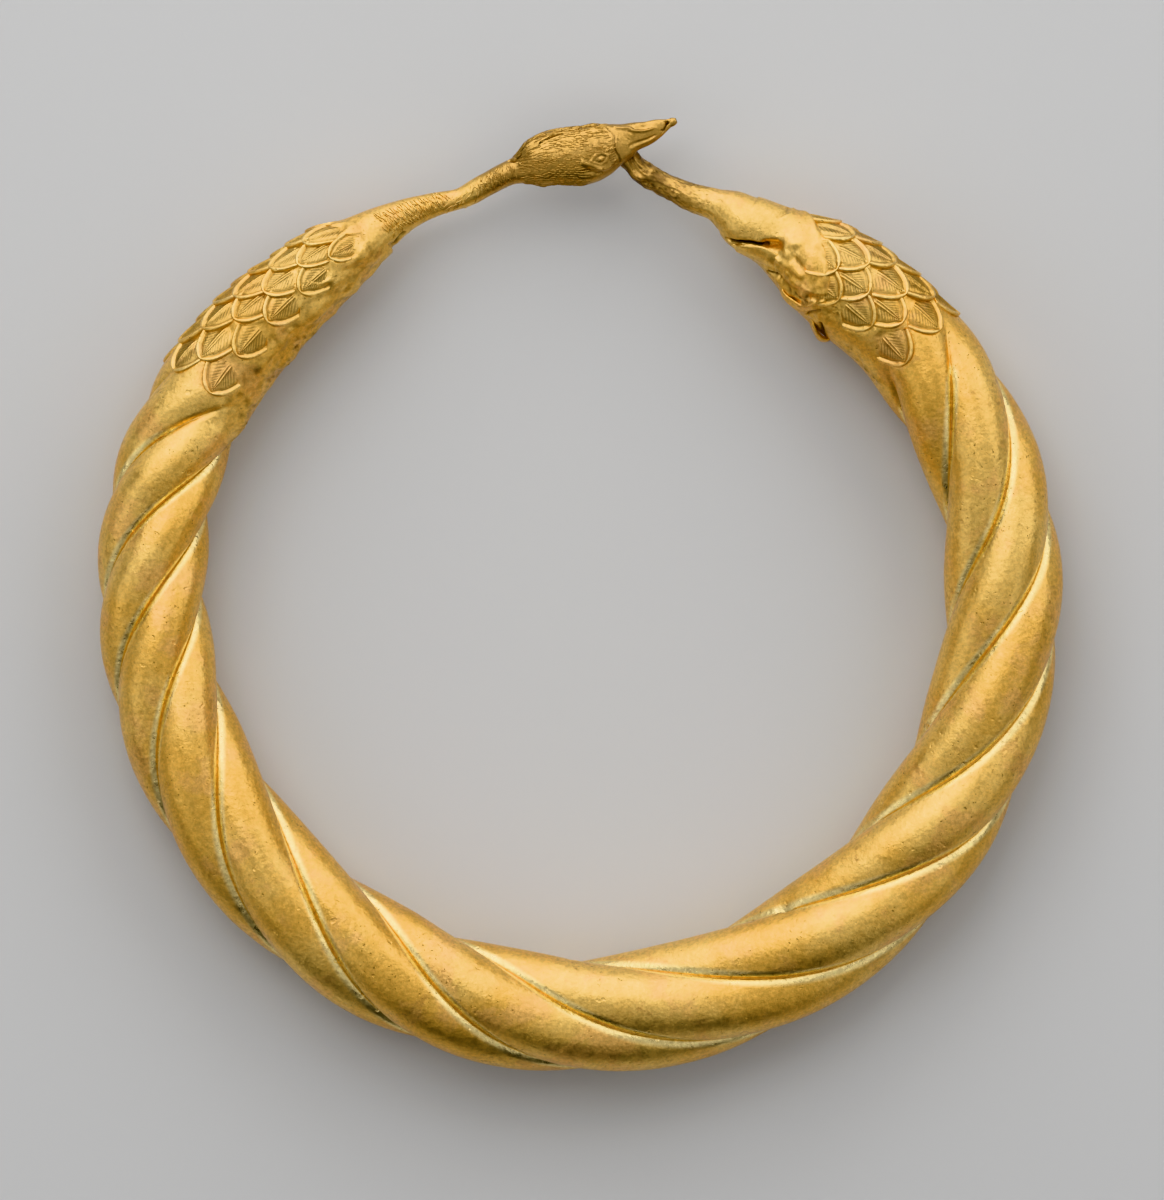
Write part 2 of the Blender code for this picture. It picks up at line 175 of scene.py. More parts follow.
def outward(angle):
    """Unit vector in the hoop's plane, square to the centre line and away from the middle."""
    step = 0.05
    along = spine(angle + step) - spine(angle - step)
    side = np.stack([-along[..., 1], along[..., 0], np.zeros_like(angle)], -1)
    return side / np.linalg.norm(side, axis=-1, keepdims=True)


# %% [markdown]
# ## The twist
# Twisting a fluted tube turns straight grooves into a rope. The pitch of this one is uneven, so
# the ring angles where each groove crosses the top are listed, and a curve runs through them.
# The flutes fade out before they reach the feathers on both shoulders.

# %% Where the grooves run
FLUTES = 4
FLUTE_DEPTH = 1.45
GROOVE_SHARPNESS = 0.68     # a little sharper than the solid's, whose facets can't show it
# Ring angles where the grooves cross the top, one after another.
GROOVE_CROSSINGS = (46, 62, 79, 94.8, 114.2, 132.4, 155.8, 179.4, 199.8, 218.5, 239.2, 256.0, 269.1,
                    281.6, 293.6, 305)
FLUTES_START_ANGLES = (50, 60)
FLUTES_END_ANGLES = (290, 303)


def groove_turn(angle):
    """Turn angle of a groove at a ring angle. The others follow at equal turns."""
    marks = np.array(GROOVE_CROSSINGS, float)
    held = np.clip(angle, marks[0], marks[-1])
    return 90.0 + 360.0 / FLUTES * curve_through(marks, np.arange(len(marks)), held)


def flute_share(angle):
    return smooth_step(*FLUTES_START_ANGLES, angle) * (1 - smooth_step(*FLUTES_END_ANGLES, angle))


turned = groove_turn(GROOVE_CROSSINGS[-1]) - groove_turn(GROOVE_CROSSINGS[0])
print("the grooves turn", round(float(turned)), "degrees in all")

# %% [markdown]
# ## The centre line as a mesh
# Geometry Nodes will need the tube's place, width and twist at any ring angle. A line of
# vertices, one for each fifth of a degree, carries these as attributes, and the nodes read the
# two nearest vertices and blend them.

# %% Build the centre line
LINE_START = 5.0
LINE_END = 372.0
LINE_STEP = 0.2


def store(mesh, name, kind, values):
    """Writes one value or vector per vertex as an attribute."""
    attribute = mesh.attributes.new(name, kind, "POINT")
    attribute.data.foreach_set("vector" if kind == "FLOAT_VECTOR" else "value", np.ravel(values))


def line_of_points(name, points):
    mesh = bpy.data.meshes.new(name)
    mesh.from_pydata([tuple(point) for point in points], [], [])
    line = bpy.data.objects.new(name, mesh)
    bpy.context.scene.collection.objects.link(line)
    return line


angles = np.arange(LINE_START, LINE_END + LINE_STEP / 2, LINE_STEP)
centre_line = line_of_points("centre_line", spine(angles))
widths = curve_through(ANGLES, HALF_WIDTHS, angles) - SKIN_DEPTH
heights = curve_through(ANGLES, HALF_HEIGHTS, angles) - SKIN_DEPTH
store(centre_line.data, "side", "FLOAT_VECTOR", outward(angles))
store(centre_line.data, "form", "FLOAT_VECTOR", np.stack([widths, heights, groove_turn(angles)], -1))
store(centre_line.data, "flutes", "FLOAT", flute_share(angles))
print("centre line with", len(angles), "points")


# %% [markdown]
# ## A few helpers for node trees
# A tree reads like a sum when each node is one short call. These helpers make a node, plug
# values or sockets into it and hand back its result.

# %% Node helpers
def plug(tree, value, socket):
    if isinstance(value, bpy.types.NodeSocket):
        tree.links.new(value, socket)
    elif value is not None:
        socket.default_value = value


def node(tree, kind, *values, **settings):
    """A new node with its settings, and with values plugged into its first inputs."""
    made = tree.nodes.new(kind)
    for name, setting in settings.items():
        setattr(made, name, setting)
    for socket, value in zip([s for s in made.inputs if s.enabled], values):
        plug(tree, value, socket)
    return made


def calc(tree, operation, *values):
    return node(tree, "ShaderNodeMath", *values, operation=operation).outputs[0]


def vector_calc(tree, operation, *values):
    return node(tree, "ShaderNodeVectorMath", *values, operation=operation).outputs[0]


def scaled(tree, vector, factor):
    made = node(tree, "ShaderNodeVectorMath", operation="SCALE")
    plug(tree, vector, made.inputs[0])
    plug(tree, factor, made.inputs["Scale"])
    return made.outputs[0]


def combined(tree, x, y, z):
    return node(tree, "ShaderNodeCombineXYZ", x, y, z).outputs[0]


def split(tree, vector):
    return node(tree, "ShaderNodeSeparateXYZ", vector).outputs


def new_tree(name, sockets):
    """A geometry tree with one geometry output and named inputs: (name, kind, default)."""
    tree = bpy.data.node_groups.new(name, "GeometryNodeTree")
    tree.interface.new_socket("Geometry", in_out="OUTPUT", socket_type="NodeSocketGeometry")
    for label, kind, default in sockets:
        socket = tree.interface.new_socket(label, in_out="INPUT", socket_type="NodeSocket" + kind)
        if default is not None:
            socket.default_value = default
    return tree, tree.nodes.new("NodeGroupInput").outputs, tree.nodes.new("NodeGroupOutput").inputs[0]


def set_inputs(modifier, **values):
    """Sets a modifier's inputs. They are stored under the sockets' identifiers."""
    for item in modifier.node_group.interface.items_tree:
        name = item.name.lower().replace(" ", "_")
        if item.item_type == "SOCKET" and item.in_out == "INPUT" and name in values:
            modifier[item.identifier] = values[name]


def named(tree, name, kind="FLOAT"):
    return node(tree, "GeometryNodeInputNamedAttribute", name, data_type=kind).outputs[0]


def sample(tree, geometry, kind, field, index):
    """The value of a field at one vertex of another geometry."""
    made = node(tree, "GeometryNodeSampleIndex", data_type=kind, domain="POINT", clamp=True)
    tree.links.new(geometry, made.inputs["Geometry"])
    tree.links.new(field, made.inputs["Value"])
    plug(tree, index, made.inputs["Index"])
    return made.outputs["Value"]


def mixed(tree, kind, share, first, second):
    """The first value where the share is 0, the second where it is 1, and a mix between."""
    made = node(tree, "ShaderNodeMix", share, first, second, data_type=kind)
    return next(s for s in made.outputs if s.enabled)


def blend_at(tree, line, kind, field, place):
    """A field of the centre line at any ring angle, blended from the two nearest vertices."""
    low = calc(tree, "FLOOR", place)
    share = calc(tree, "SUBTRACT", place, low)
    first = sample(tree, line, kind, field, low)
    second = sample(tree, line, kind, field, calc(tree, "ADD", low, 1.0))
    return mixed(tree, "FLOAT" if kind == "FLOAT" else "VECTOR", share, first, second)


def between(tree, value, low, high, start=0.0, end=1.0):
    """Start where the value is low, end where it is high, and a soft slope between them."""
    made = node(tree, "ShaderNodeMapRange", interpolation_type="SMOOTHSTEP")
    limits = (("Value", value), ("From Min", low), ("From Max", high), ("To Min", start), ("To Max", end))
    for name, given in limits:
        plug(tree, given, made.inputs[name])
    return made.outputs[0]


def noise_at(tree, coordinates, scale, detail=2.0, roughness=0.5):
    made = node(tree, "ShaderNodeTexNoise", noise_dimensions="3D")
    plug(tree, coordinates, made.inputs["Vector"])
    plug(tree, scale, made.inputs["Scale"])
    plug(tree, detail, made.inputs["Detail"])
    plug(tree, roughness, made.inputs["Roughness"])
    return made.outputs[0]


print("helpers ready")

# %% [markdown]
# ## Rolling a flat sheet into the armlet
# A goldsmith works from flat sheet, and so does this script. Everything is drawn flat first:
# X runs along the hoop, Y round the tube and Z off the sheet, all in millimetres. This group
# then rolls the sheet round the centre line, sinks the flutes into it and dents it a little.

# %% The rolling group
ALONG = HOOP_RADIUS * np.pi / 180       # millimetres of sheet for a degree of ring angle
ROUND = TUBE_RADIUS * np.pi / 180       # millimetres of sheet for a degree of turn angle
LINE_DEPTH = 0.04                       # of the fine line chased along each groove
LINE_EDGE = 0.26                        # from its middle to its upper edge
BEVEL_RISE = 0.06                       # of the edge beside each groove
BEVEL_WIDTH = 0.95                      # from the groove's middle to that edge
BEVEL_SOFTNESS = 0.5                    # from the edge to where it has faded
FAR_AWAY = 9.0                          # added to the distance from a groove where there is none
UNEVENNESS = 0.16                       # depth of the soft dents all over
UNEVEN_SCALE = 0.16                     # cells of their noise for a millimetre
UNEVEN_DETAIL = 3.0
WANDER_SCALE = 0.35                     # cells for a millimetre of the noise that moves the edge


def make_rolling_group():
    group, given, result = new_tree("roll_up", (
        ("Geometry", "Geometry", None), ("Centre Line", "Object", None),
        ("Flute Depth", "Float", FLUTE_DEPTH), ("Groove Sharpness", "Float", GROOVE_SHARPNESS),
        ("Line Depth", "Float", LINE_DEPTH), ("Line Edge", "Float", LINE_EDGE),
        ("Bevel Rise", "Float", BEVEL_RISE), ("Bevel Width", "Float", BEVEL_WIDTH),
        ("Unevenness", "Float", UNEVENNESS)))
    line = node(group, "GeometryNodeObjectInfo", given["Centre Line"]).outputs["Geometry"]
    position = node(group, "GeometryNodeInputPosition").outputs[0]
    x, y, z = split(group, position)
    ring = calc(group, "DIVIDE", x, ALONG)
    turn = calc(group, "DIVIDE", y, ROUND)
    place = calc(group, "DIVIDE", calc(group, "SUBTRACT", ring, LINE_START), LINE_STEP)
    centre = blend_at(group, line, "FLOAT_VECTOR", position, place)
    side = blend_at(group, line, "FLOAT_VECTOR", named(group, "side", "FLOAT_VECTOR"), place)
    form = blend_at(group, line, "FLOAT_VECTOR", named(group, "form", "FLOAT_VECTOR"), place)
    flutes = blend_at(group, line, "FLOAT", named(group, "flutes"), place)
    width, height, groove = split(group, form)
    # Distance from the nearest groove, 0 in it and a half on the crest between two.
    lobe = calc(group, "DIVIDE", calc(group, "SUBTRACT", turn, groove), 360.0 / FLUTES)
    away = calc(group, "PINGPONG", lobe, 0.5)
    hump = calc(group, "SINE", calc(group, "MULTIPLY", away, np.pi))
    bulge = calc(group, "POWER", hump, given["Groove Sharpness"])
    sunk = calc(group, "MULTIPLY", calc(group, "SUBTRACT", 1.0, bulge), given["Flute Depth"])
    distance = calc(group, "MULTIPLY", away, 360.0 / FLUTES * ROUND)
    around = calc(group, "MULTIPLY", turn, np.pi / 180)
    cosine = calc(group, "COSINE", around)
    sine = calc(group, "SINE", around)
    # A punched groove is a bevel with a fine line at its foot, and its edge wanders a little.
    along = calc(group, "DIVIDE", x, TUBE_RADIUS)
    on_tube = scaled(group, combined(group, cosine, sine, along), TUBE_RADIUS)
    wander = noise_at(group, scaled(group, on_tube, WANDER_SCALE), 1.0)
    sway = calc(group, "ADD", wander, 0.5)
    off_edge = calc(group, "SUBTRACT", distance, calc(group, "MULTIPLY", given["Bevel Width"], sway))
    off_edge = calc(group, "DIVIDE", off_edge, BEVEL_SOFTNESS)
    square = calc(group, "MULTIPLY", off_edge, off_edge)
    ridge = calc(group, "EXPONENT", calc(group, "MULTIPLY", square, -1.0))
    sunk = calc(group, "SUBTRACT", sunk, calc(group, "MULTIPLY", ridge, given["Bevel Rise"]))
    line_share = between(group, distance, 0.0, given["Line Edge"], 1.0, 0.0)
    sunk = calc(group, "ADD", sunk, calc(group, "MULTIPLY", line_share, given["Line Depth"]))
    raised = calc(group, "SUBTRACT", z, calc(group, "MULTIPLY", sunk, flutes))
    across = calc(group, "MULTIPLY", calc(group, "ADD", width, raised), cosine)
    upwards = calc(group, "MULTIPLY", calc(group, "ADD", height, raised), sine)
    rolled = vector_calc(group, "ADD", centre, vector_calc(
        group, "ADD", scaled(group, side, across), combined(group, 0.0, 0.0, upwards)))
    out = vector_calc(group, "ADD", scaled(group, side, cosine), combined(group, 0.0, 0.0, sine))
    wobble = noise_at(group, rolled, UNEVEN_SCALE, UNEVEN_DETAIL)
    dent = calc(group, "MULTIPLY", wobble, calc(group, "MULTIPLY", given["Unevenness"], -1.0))
    rolled = vector_calc(group, "ADD", rolled, scaled(group, out, dent))
    no_groove = calc(group, "MULTIPLY", calc(group, "SUBTRACT", 1.0, flutes), FAR_AWAY)
    from_groove = calc(group, "ADD", distance, no_groove)
    geometry = given["Geometry"]
    for name, kind, field in (("ring_angle", "FLOAT", ring), ("turn", "FLOAT", turn),
                              ("out", "FLOAT_VECTOR", out), ("from_groove", "FLOAT", from_groove)):
        keep = node(group, "GeometryNodeStoreNamedAttribute", data_type=kind, domain="POINT")
        plug(group, geometry, keep.inputs["Geometry"])
        plug(group, name, keep.inputs["Name"])
        plug(group, field, next(s for s in keep.inputs if s.name == "Value" and s.enabled))
        geometry = keep.outputs[0]
    moved = node(group, "GeometryNodeSetPosition")
    plug(group, geometry, moved.inputs["Geometry"])
    plug(group, scaled(group, rolled, MM), moved.inputs["Position"])
    plug(group, moved.outputs[0], result)
    return group


roll_up = make_rolling_group()
print("rolling group with", len(roll_up.nodes), "nodes")


def rolled_up(tree, geometry, line):
    """Adds the rolling group to a tree."""
    made = tree.nodes.new("GeometryNodeGroup")
    made.node_tree = roll_up
    plug(tree, geometry, made.inputs["Geometry"])
    plug(tree, line, made.inputs["Centre Line"])
    return made.outputs[0]


def close_tree(tree, geometry, material, result):
    """Ends a tree the way the export needs it: real meshes with one material."""
    real = node(tree, "GeometryNodeRealizeInstances", geometry).outputs[0]
    painted = node(tree, "GeometryNodeSetMaterial")
    plug(tree, real, painted.inputs["Geometry"])
    plug(tree, material, painted.inputs["Material"])
    plug(tree, painted.outputs[0], result)


def made_real(name, carrier):
    """Turns what a modifier makes into a plain mesh object."""
    graph = bpy.context.evaluated_depsgraph_get()
    mesh = bpy.data.meshes.new_from_object(carrier.evaluated_get(graph), preserve_all_data_layers=True,
                                           depsgraph=graph)
    carrier.modifiers.clear()
    bpy.data.objects.remove(carrier)
    piece = bpy.data.objects.new(name, mesh)
    bpy.context.scene.collection.objects.link(piece)
    return piece


# %% [markdown]
# ## The finish
# The gold is worn and satin. Sheet gold of this age shows soft patches of deeper and redder
# colour, a fine grain, brown tarnish, and small pits with dirt in them. Beside the grooves it is
# painted paler as a painted highlight. On the rims of the feathers and the tops of the strokes it
# is paler for rubbed wear and a painted highlight. The chased lines, creases, slots, cracks and the
# open end are painted dark, for dirt and as painted shade.
# A painted picture could be wrapped round it, but would stretch at the seam. So one material
# mixes all of it from noises, and reads the piece's own coordinates, so nothing slides.

# %% The gold
GOLD_LIGHT = (0.95, 0.625, 0.19, 1.0)
GOLD_DEEP = (0.86, 0.505, 0.12, 1.0)
GOLD_RED = (0.91, 0.53, 0.18, 1.0)
# GOLD_PALE is a painted highlight beside the grooves, and rubbed wear with a painted highlight on rims.
GOLD_PALE = (1.0, 0.81, 0.37, 1.0)
TARNISH = (0.50, 0.26, 0.085, 1.0)
HEAD_BROWN = (0.50, 0.30, 0.085, 1.0)
# The next colour is dirt in the pits, and dirt with painted shade in chased lines, slots and cracks.
DARK_DIRT_AND_SHADE = (0.07, 0.035, 0.012, 1.0)
HEAD_PLACE = (0.001, 0.049, 0.007)      # in metres
HEAD_REACH = 0.011
HEAD_FADE = 0.004
# How much of each colour is laid over the ones before.
RED_SHARE = 0.7
PALE_SHARE = 0.9
BROWN_SHARE = 0.85
TARNISH_SHARE = 0.6
PIT_DIRT = 0.6
# Cells of each noise for a metre. At 330 they are about 3 mm wide.
PATCH_SCALE = 75.0
TARNISH_SCALE = 160.0
RED_SCALE = 190.0
PIT_ZONE_SCALE = 230.0
SHEEN_AND_WEAR_SCALE = 330.0
SATIN_SCALE = 700.0
NICK_SCALE = 850.0
SPECK_SCALE = 1500.0
GRAIN_SCALE = 2300.0
PIT_SCALE = 3400.0
# Relief too fine for the mesh: its noises as scale, detail, roughness and height. The heights
# are in tenths of a millimetre.
RELIEF_UNIT = 0.0001
RELIEF_NOISES = ((330.0, 2.0, 0.5, 0.7), (1100.0, 3.0, 0.6, 0.75), (2900.0, 3.0, 0.6, 0.34))
PIT_DEPTH = 0.7
NICK_DEPTH = 0.6
# The head is rubbed a little smoother, and the paler bands and rims more so.
HEAD_POLISH = 0.08
EDGE_POLISH = 0.12


def gold_finish():
    gold = bpy.data.materials.new("worn_gold")
    gold.use_nodes = True
    tree = gold.node_tree
    shader = tree.nodes["Principled BSDF"]
    shader.inputs["Metallic"].default_value = 1.0
    shader.inputs["Coat Weight"].default_value = 0.3
    shader.inputs["Coat Roughness"].default_value = 0.4
    place = node(tree, "ShaderNodeTexCoord").outputs["Object"]

    def held(name):
        return node(tree, "ShaderNodeAttribute", attribute_name=name).outputs["Fac"]

    def times(first, second):
        return calc(tree, "MULTIPLY", first, second)

    def noise_here(*settings):
        return noise_at(tree, place, *settings)

    def mix(share, first, second):
        return mixed(tree, "RGBA", share, first, second)

    # Paler beside the grooves, a painted highlight on their bevels, and where the attribute "recess" is
    # below zero.
    # Below zero, on rims and ridge tops, the paleness is rubbed wear and a painted highlight.
    sheen_and_wear = between(tree, noise_here(SHEEN_AND_WEAR_SCALE, 3.0, 0.6), 0.4, 0.6, 0.25, 1.0)
    beside = times(between(tree, held("from_groove"), 0.1, 0.3, 0.0, 1.0),
                   between(tree, held("from_groove"), 0.55, 1.3, 1.0, 0.0))
    pale_highlight_and_wear = calc(tree, "MAXIMUM", beside, times(sheen_and_wear, times(held("recess"), -1.0)))
    patches = between(tree, noise_here(PATCH_SCALE, 4.0, 0.6), 0.38, 0.62)
    colour = mix(patches, GOLD_DEEP, GOLD_LIGHT)
    redder = between(tree, noise_here(RED_SCALE, 4.0, 0.6), 0.5, 0.64)
    colour = mix(times(redder, RED_SHARE), colour, GOLD_RED)
    colour = mix(times(pale_highlight_and_wear, PALE_SHARE), colour, GOLD_PALE)
    # The head is browner than the hoop.
    from_head = node(tree, "ShaderNodeVectorMath", place, HEAD_PLACE, operation="DISTANCE").outputs["Value"]
    near_head = between(tree, from_head, HEAD_REACH, HEAD_REACH + HEAD_FADE, 1.0, 0.0)
    colour = mix(times(near_head, BROWN_SHARE), colour, HEAD_BROWN)
    # Brown tarnish in patches, broken up into specks.
    specks = between(tree, noise_here(SPECK_SCALE, 3.0, 0.65), 0.5, 0.66)
    tarnished = between(tree, noise_here(TARNISH_SCALE, 4.0, 0.6), 0.52, 0.7)
    colour = mix(times(times(specks, tarnished), TARNISH_SHARE), colour, TARNISH)
    # The grain of the metal, lighter and darker every few tenths of a millimetre.
    grain = between(tree, noise_here(GRAIN_SCALE, 4.0, 0.7), 0.3, 0.7, 0.8, 1.12)
    colour = scaled(tree, colour, grain)
    # Small pits in some zones, with dirt in them. Where "recess" is above zero, dirt and painted shade.
    pits = between(tree, noise_here(PIT_SCALE, 1.0), 0.67, 0.76)
    pit_zones = between(tree, noise_here(PIT_ZONE_SCALE, 3.0), 0.46, 0.6)
    pits = times(pits, pit_zones)
    shaded_and_soiled = calc(tree, "MAXIMUM", held("recess"), times(pits, PIT_DIRT))
    colour = mix(shaded_and_soiled, colour, DARK_DIRT_AND_SHADE)
    plug(tree, colour, shader.inputs["Base Color"])
    satin = between(tree, noise_here(SATIN_SCALE, 4.0, 0.6), 0.3, 0.7, 0.35, 0.49)
    satin = calc(tree, "SUBTRACT", satin, times(near_head, HEAD_POLISH))
    plug(tree, calc(tree, "SUBTRACT", satin, times(pale_highlight_and_wear, EDGE_POLISH)), shader.inputs["Roughness"])
    # Dents, hammering and grain, and then the pits and nicks.
    relief = 0.0
    for scale, detail, roughness, height in RELIEF_NOISES:
        relief = calc(tree, "ADD", relief, times(noise_here(scale, detail, roughness), height))
    nicks = between(tree, noise_here(NICK_SCALE, 1.0), 0.7, 0.8)
    hollows = calc(tree, "ADD", times(pits, PIT_DEPTH), times(nicks, NICK_DEPTH))
    relief = calc(tree, "SUBTRACT", relief, hollows)
    bump = node(tree, "ShaderNodeBump")
    plug(tree, 1.0, bump.inputs["Strength"])
    plug(tree, RELIEF_UNIT, bump.inputs["Distance"])
    plug(tree, relief, bump.inputs["Height"])
    plug(tree, bump.outputs[0], shader.inputs["Normal"])
    return gold


gold = gold_finish()
print("gold finish with", len(gold.node_tree.nodes), "nodes")

# %% [markdown]
# ## The skin
# The skin is one net from the broken neck to the tip of the bill. It could be sculpted by hand,
# but its flutes follow a rule, so nodes lay it out. Its columns ride along the grooves and crowd
# together beside them, where the shape is sharpest. Its sections stand close on the shoulders
# and the head, and further apart on the plain hoop.

# %% The net's sections
COLUMNS = 112
CROWDING = 0.78
# The net's columns follow the grooves between these ring angles and run straight outside them.
TWISTED_ANGLES = (55.4, 297.2)
# Stretches of the net, as ring angles, and the step between their sections.
SECTION_STEPS = (
    (6.2, 22.0, 0.36), (22.0, 43.0, 0.25), (43.0, 57.0, 0.5), (57.0, 292.0, 0.86),
    (292.0, 331.0, 0.42), (331.0, 350.6, 0.40), (350.6, 364.5, 0.125), (364.5, 371.4, 0.15),
)


def section_angles():
    angles = []
    for start, stop, step in SECTION_STEPS:
        count = max(2, round((stop - start) / step))
        angles.extend(np.linspace(start, stop, count, endpoint=False))
    return np.array(angles + [SECTION_STEPS[-1][1]])


section_marks = section_angles()
held = groove_turn(np.clip(section_marks, *TWISTED_ANGLES))
net = line_of_points("net", np.stack([section_marks, held, flute_share(section_marks)], -1))
print(len(section_marks), "sections of", COLUMNS, "columns")


# %% The skin's tree
def make_skin_tree():
    tree, given, result = new_tree("twisted_skin", (
        ("Geometry", "Geometry", None), ("Centre Line", "Object", None), ("Net", "Object", None),
        ("Sections", "Int", len(section_marks)), ("Columns", "Int", COLUMNS),
        ("Crowding", "Float", CROWDING), ("Material", "Material", None)))
    around = calc(tree, "ADD", given["Columns"], 1.0)
    grid = node(tree, "GeometryNodeMeshGrid", 1.0, 1.0, given["Sections"], around).outputs["Mesh"]
    index = node(tree, "GeometryNodeInputIndex").outputs[0]
    section = calc(tree, "FLOOR", calc(tree, "DIVIDE", calc(tree, "ADD", index, 0.5), around))
    column = calc(tree, "SUBTRACT", index, calc(tree, "MULTIPLY", section, around))
    net_geometry = node(tree, "GeometryNodeObjectInfo", given["Net"]).outputs["Geometry"]
    position = node(tree, "GeometryNodeInputPosition").outputs[0]
    ring, held_turn, fluted = split(tree, sample(tree, net_geometry, "FLOAT_VECTOR", position, section))
    share = calc(tree, "DIVIDE", column, given["Columns"])
    waves = calc(tree, "SINE", calc(tree, "MULTIPLY", share, 2 * np.pi * FLUTES))
    pull = calc(tree, "MULTIPLY", calc(tree, "MULTIPLY", given["Crowding"], fluted), waves)
    share = calc(tree, "SUBTRACT", share, calc(tree, "DIVIDE", pull, 2 * np.pi * FLUTES))
    turn = calc(tree, "ADD", held_turn, calc(tree, "MULTIPLY", share, 360.0))
    flat = combined(tree, calc(tree, "MULTIPLY", ring, ALONG), calc(tree, "MULTIPLY", turn, ROUND), 0.0)
    laid = node(tree, "GeometryNodeSetPosition")
    plug(tree, grid, laid.inputs["Geometry"])
    plug(tree, flat, laid.inputs["Position"])
    close_tree(tree, rolled_up(tree, laid.outputs[0], given["Centre Line"]), given["Material"], result)
    return tree


def run_tree(name, tree, base=None, **inputs):
    """Runs a tree on a new object and keeps the result as a plain mesh."""
    carrier = bpy.data.objects.new(name + "_carrier", base or bpy.data.meshes.new(name + "_carrier"))
    bpy.context.scene.collection.objects.link(carrier)
    modifier = carrier.modifiers.new(name, "NODES")
    modifier.node_group = tree
    set_inputs(modifier, centre_line=centre_line, material=gold, **inputs)
    return made_real(name, carrier)


skin = run_tree("armlet_skin", make_skin_tree(), net=net, sections=len(section_marks))
print("skin net with", len(skin.data.vertices), "vertices")


# %% [markdown]
# The sheet's two long edges meet in a seam, which is welded. The broken neck is left as an open
# pipe with a wall, and the tip of the bill is closed.

# %% Weld the seam and close the ends
SHEET = 0.35                # thickness of the wall round the open end
STUMP_HOLLOW = 1.6          # depth of the open end
WELD_DISTANCE = 0.003
# Places that need a finer net: two ring angles, two turn angles and the cuts across each face.
FINE_PLACES = (
    (22.4, 31.2, 96, 164, 2), (35.6, 43.0, 120, 170, 1), (354.6, 358.4, 28, 60, 2),
    (360.0, 364.7, 88, 146, 1), (369.2, 371.0, 40, 150, 1),
)


def refine(mesh, angle_of, turn_of):
    """Cuts the net finer where it is chased most."""
    for ring_low, ring_high, turn_low, turn_high, cuts in FINE_PLACES:
        inside = []
        for face in mesh.faces:
            on_ring = all(ring_low < vert[angle_of] < ring_high for vert in face.verts)
            if on_ring and all(turn_low < vert[turn_of] < turn_high for vert in face.verts):
                inside.append(face)
        edges = list({edge for face in inside for edge in face.edges})
        bmesh.ops.subdivide_edges(mesh, edges=edges, cuts=cuts, use_grid_fill=True)


def hollow_end(mesh, rim):
    """Turns the rim of the broken neck inwards to a wall, and closes the hollow behind it."""
    end = STUMP_SECTIONS[0][0]
    centre = sum((edge.verts[0].co for edge in rim), Vector()) / len(rim)
    inwards = Vector(spine(np.array(end + 2)) - spine(np.array(end))).normalized() * STUMP_HOLLOW * MM
    keep = 1 - SHEET / (STUMP_SECTIONS[0][2] * STUMP_RADIUS)
    for move in (Vector(), inwards):
        grown = bmesh.ops.extrude_edge_only(mesh, edges=rim)["geom"]
        for vert in (item for item in grown if isinstance(item, bmesh.types.BMVert)):
            vert.co = vert.co + move if move.length else centre + (vert.co - centre) * keep
        rim = [item for item in grown if isinstance(item, bmesh.types.BMEdge) and item.is_boundary]
    bmesh.ops.contextual_create(mesh, geom=rim)


def close_skin(piece):
    mesh = bmesh.new()
    mesh.from_mesh(piece.data)
    bmesh.ops.remove_doubles(mesh, verts=mesh.verts, dist=WELD_DISTANCE * MM)
    angle_of = mesh.verts.layers.float["ring_angle"]
    turn_of = mesh.verts.layers.float["turn"]
    for vert in mesh.verts:
        vert[turn_of] %= 360
    refine(mesh, angle_of, turn_of)
    borders = [edge for edge in mesh.edges if edge.is_boundary]
    stump = [edge for edge in borders if edge.verts[0][angle_of] < 180]
    bill = [edge for edge in borders if edge.verts[0][angle_of] > 180]
    bmesh.ops.contextual_create(mesh, geom=bill)
    hollow_end(mesh, stump)
    bmesh.ops.recalc_face_normals(mesh, faces=mesh.faces)
    open_edges = sum(not edge.is_manifold for edge in mesh.edges)
    mesh.to_mesh(piece.data)
    mesh.free()
    print("skin with", len(piece.data.vertices), "vertices and", open_edges, "open edges")


close_skin(skin)


# %% Read and write a mesh's points
def points_of(mesh):
    points = np.empty(len(mesh.vertices) * 3, np.float32)
    mesh.vertices.foreach_get("co", points)
    return points.reshape(-1, 3).astype(float)


def values_of(mesh, name, vector=False):
    values = np.empty(len(mesh.vertices) * (3 if vector else 1), np.float32)
    mesh.attributes[name].data.foreach_get("vector" if vector else "value", values)
    values = values.astype(float)
    return values.reshape(-1, 3) if vector else values


def put_points(mesh, points):
    mesh.vertices.foreach_set("co", points.astype(np.float32).ravel())
    mesh.update()


print("the skin reaches", round(float(points_of(skin.data)[:, 2].max()) / MM, 2), "mm above the floor")

# %% [markdown]
# ## The feathers
# Each feather on the shoulders is a small raised plate: a round rim, a line punched inside it,
# a double rib down the middle and fine barbs that slant to the tip. A bump map could fake this,
# but the rims stand high enough to shade the next feather, so they are real relief. One plate is
# modelled flat. A plan of points, read row by row from the real shoulders, says where its copies
# go, and nodes put them there with a little sway.

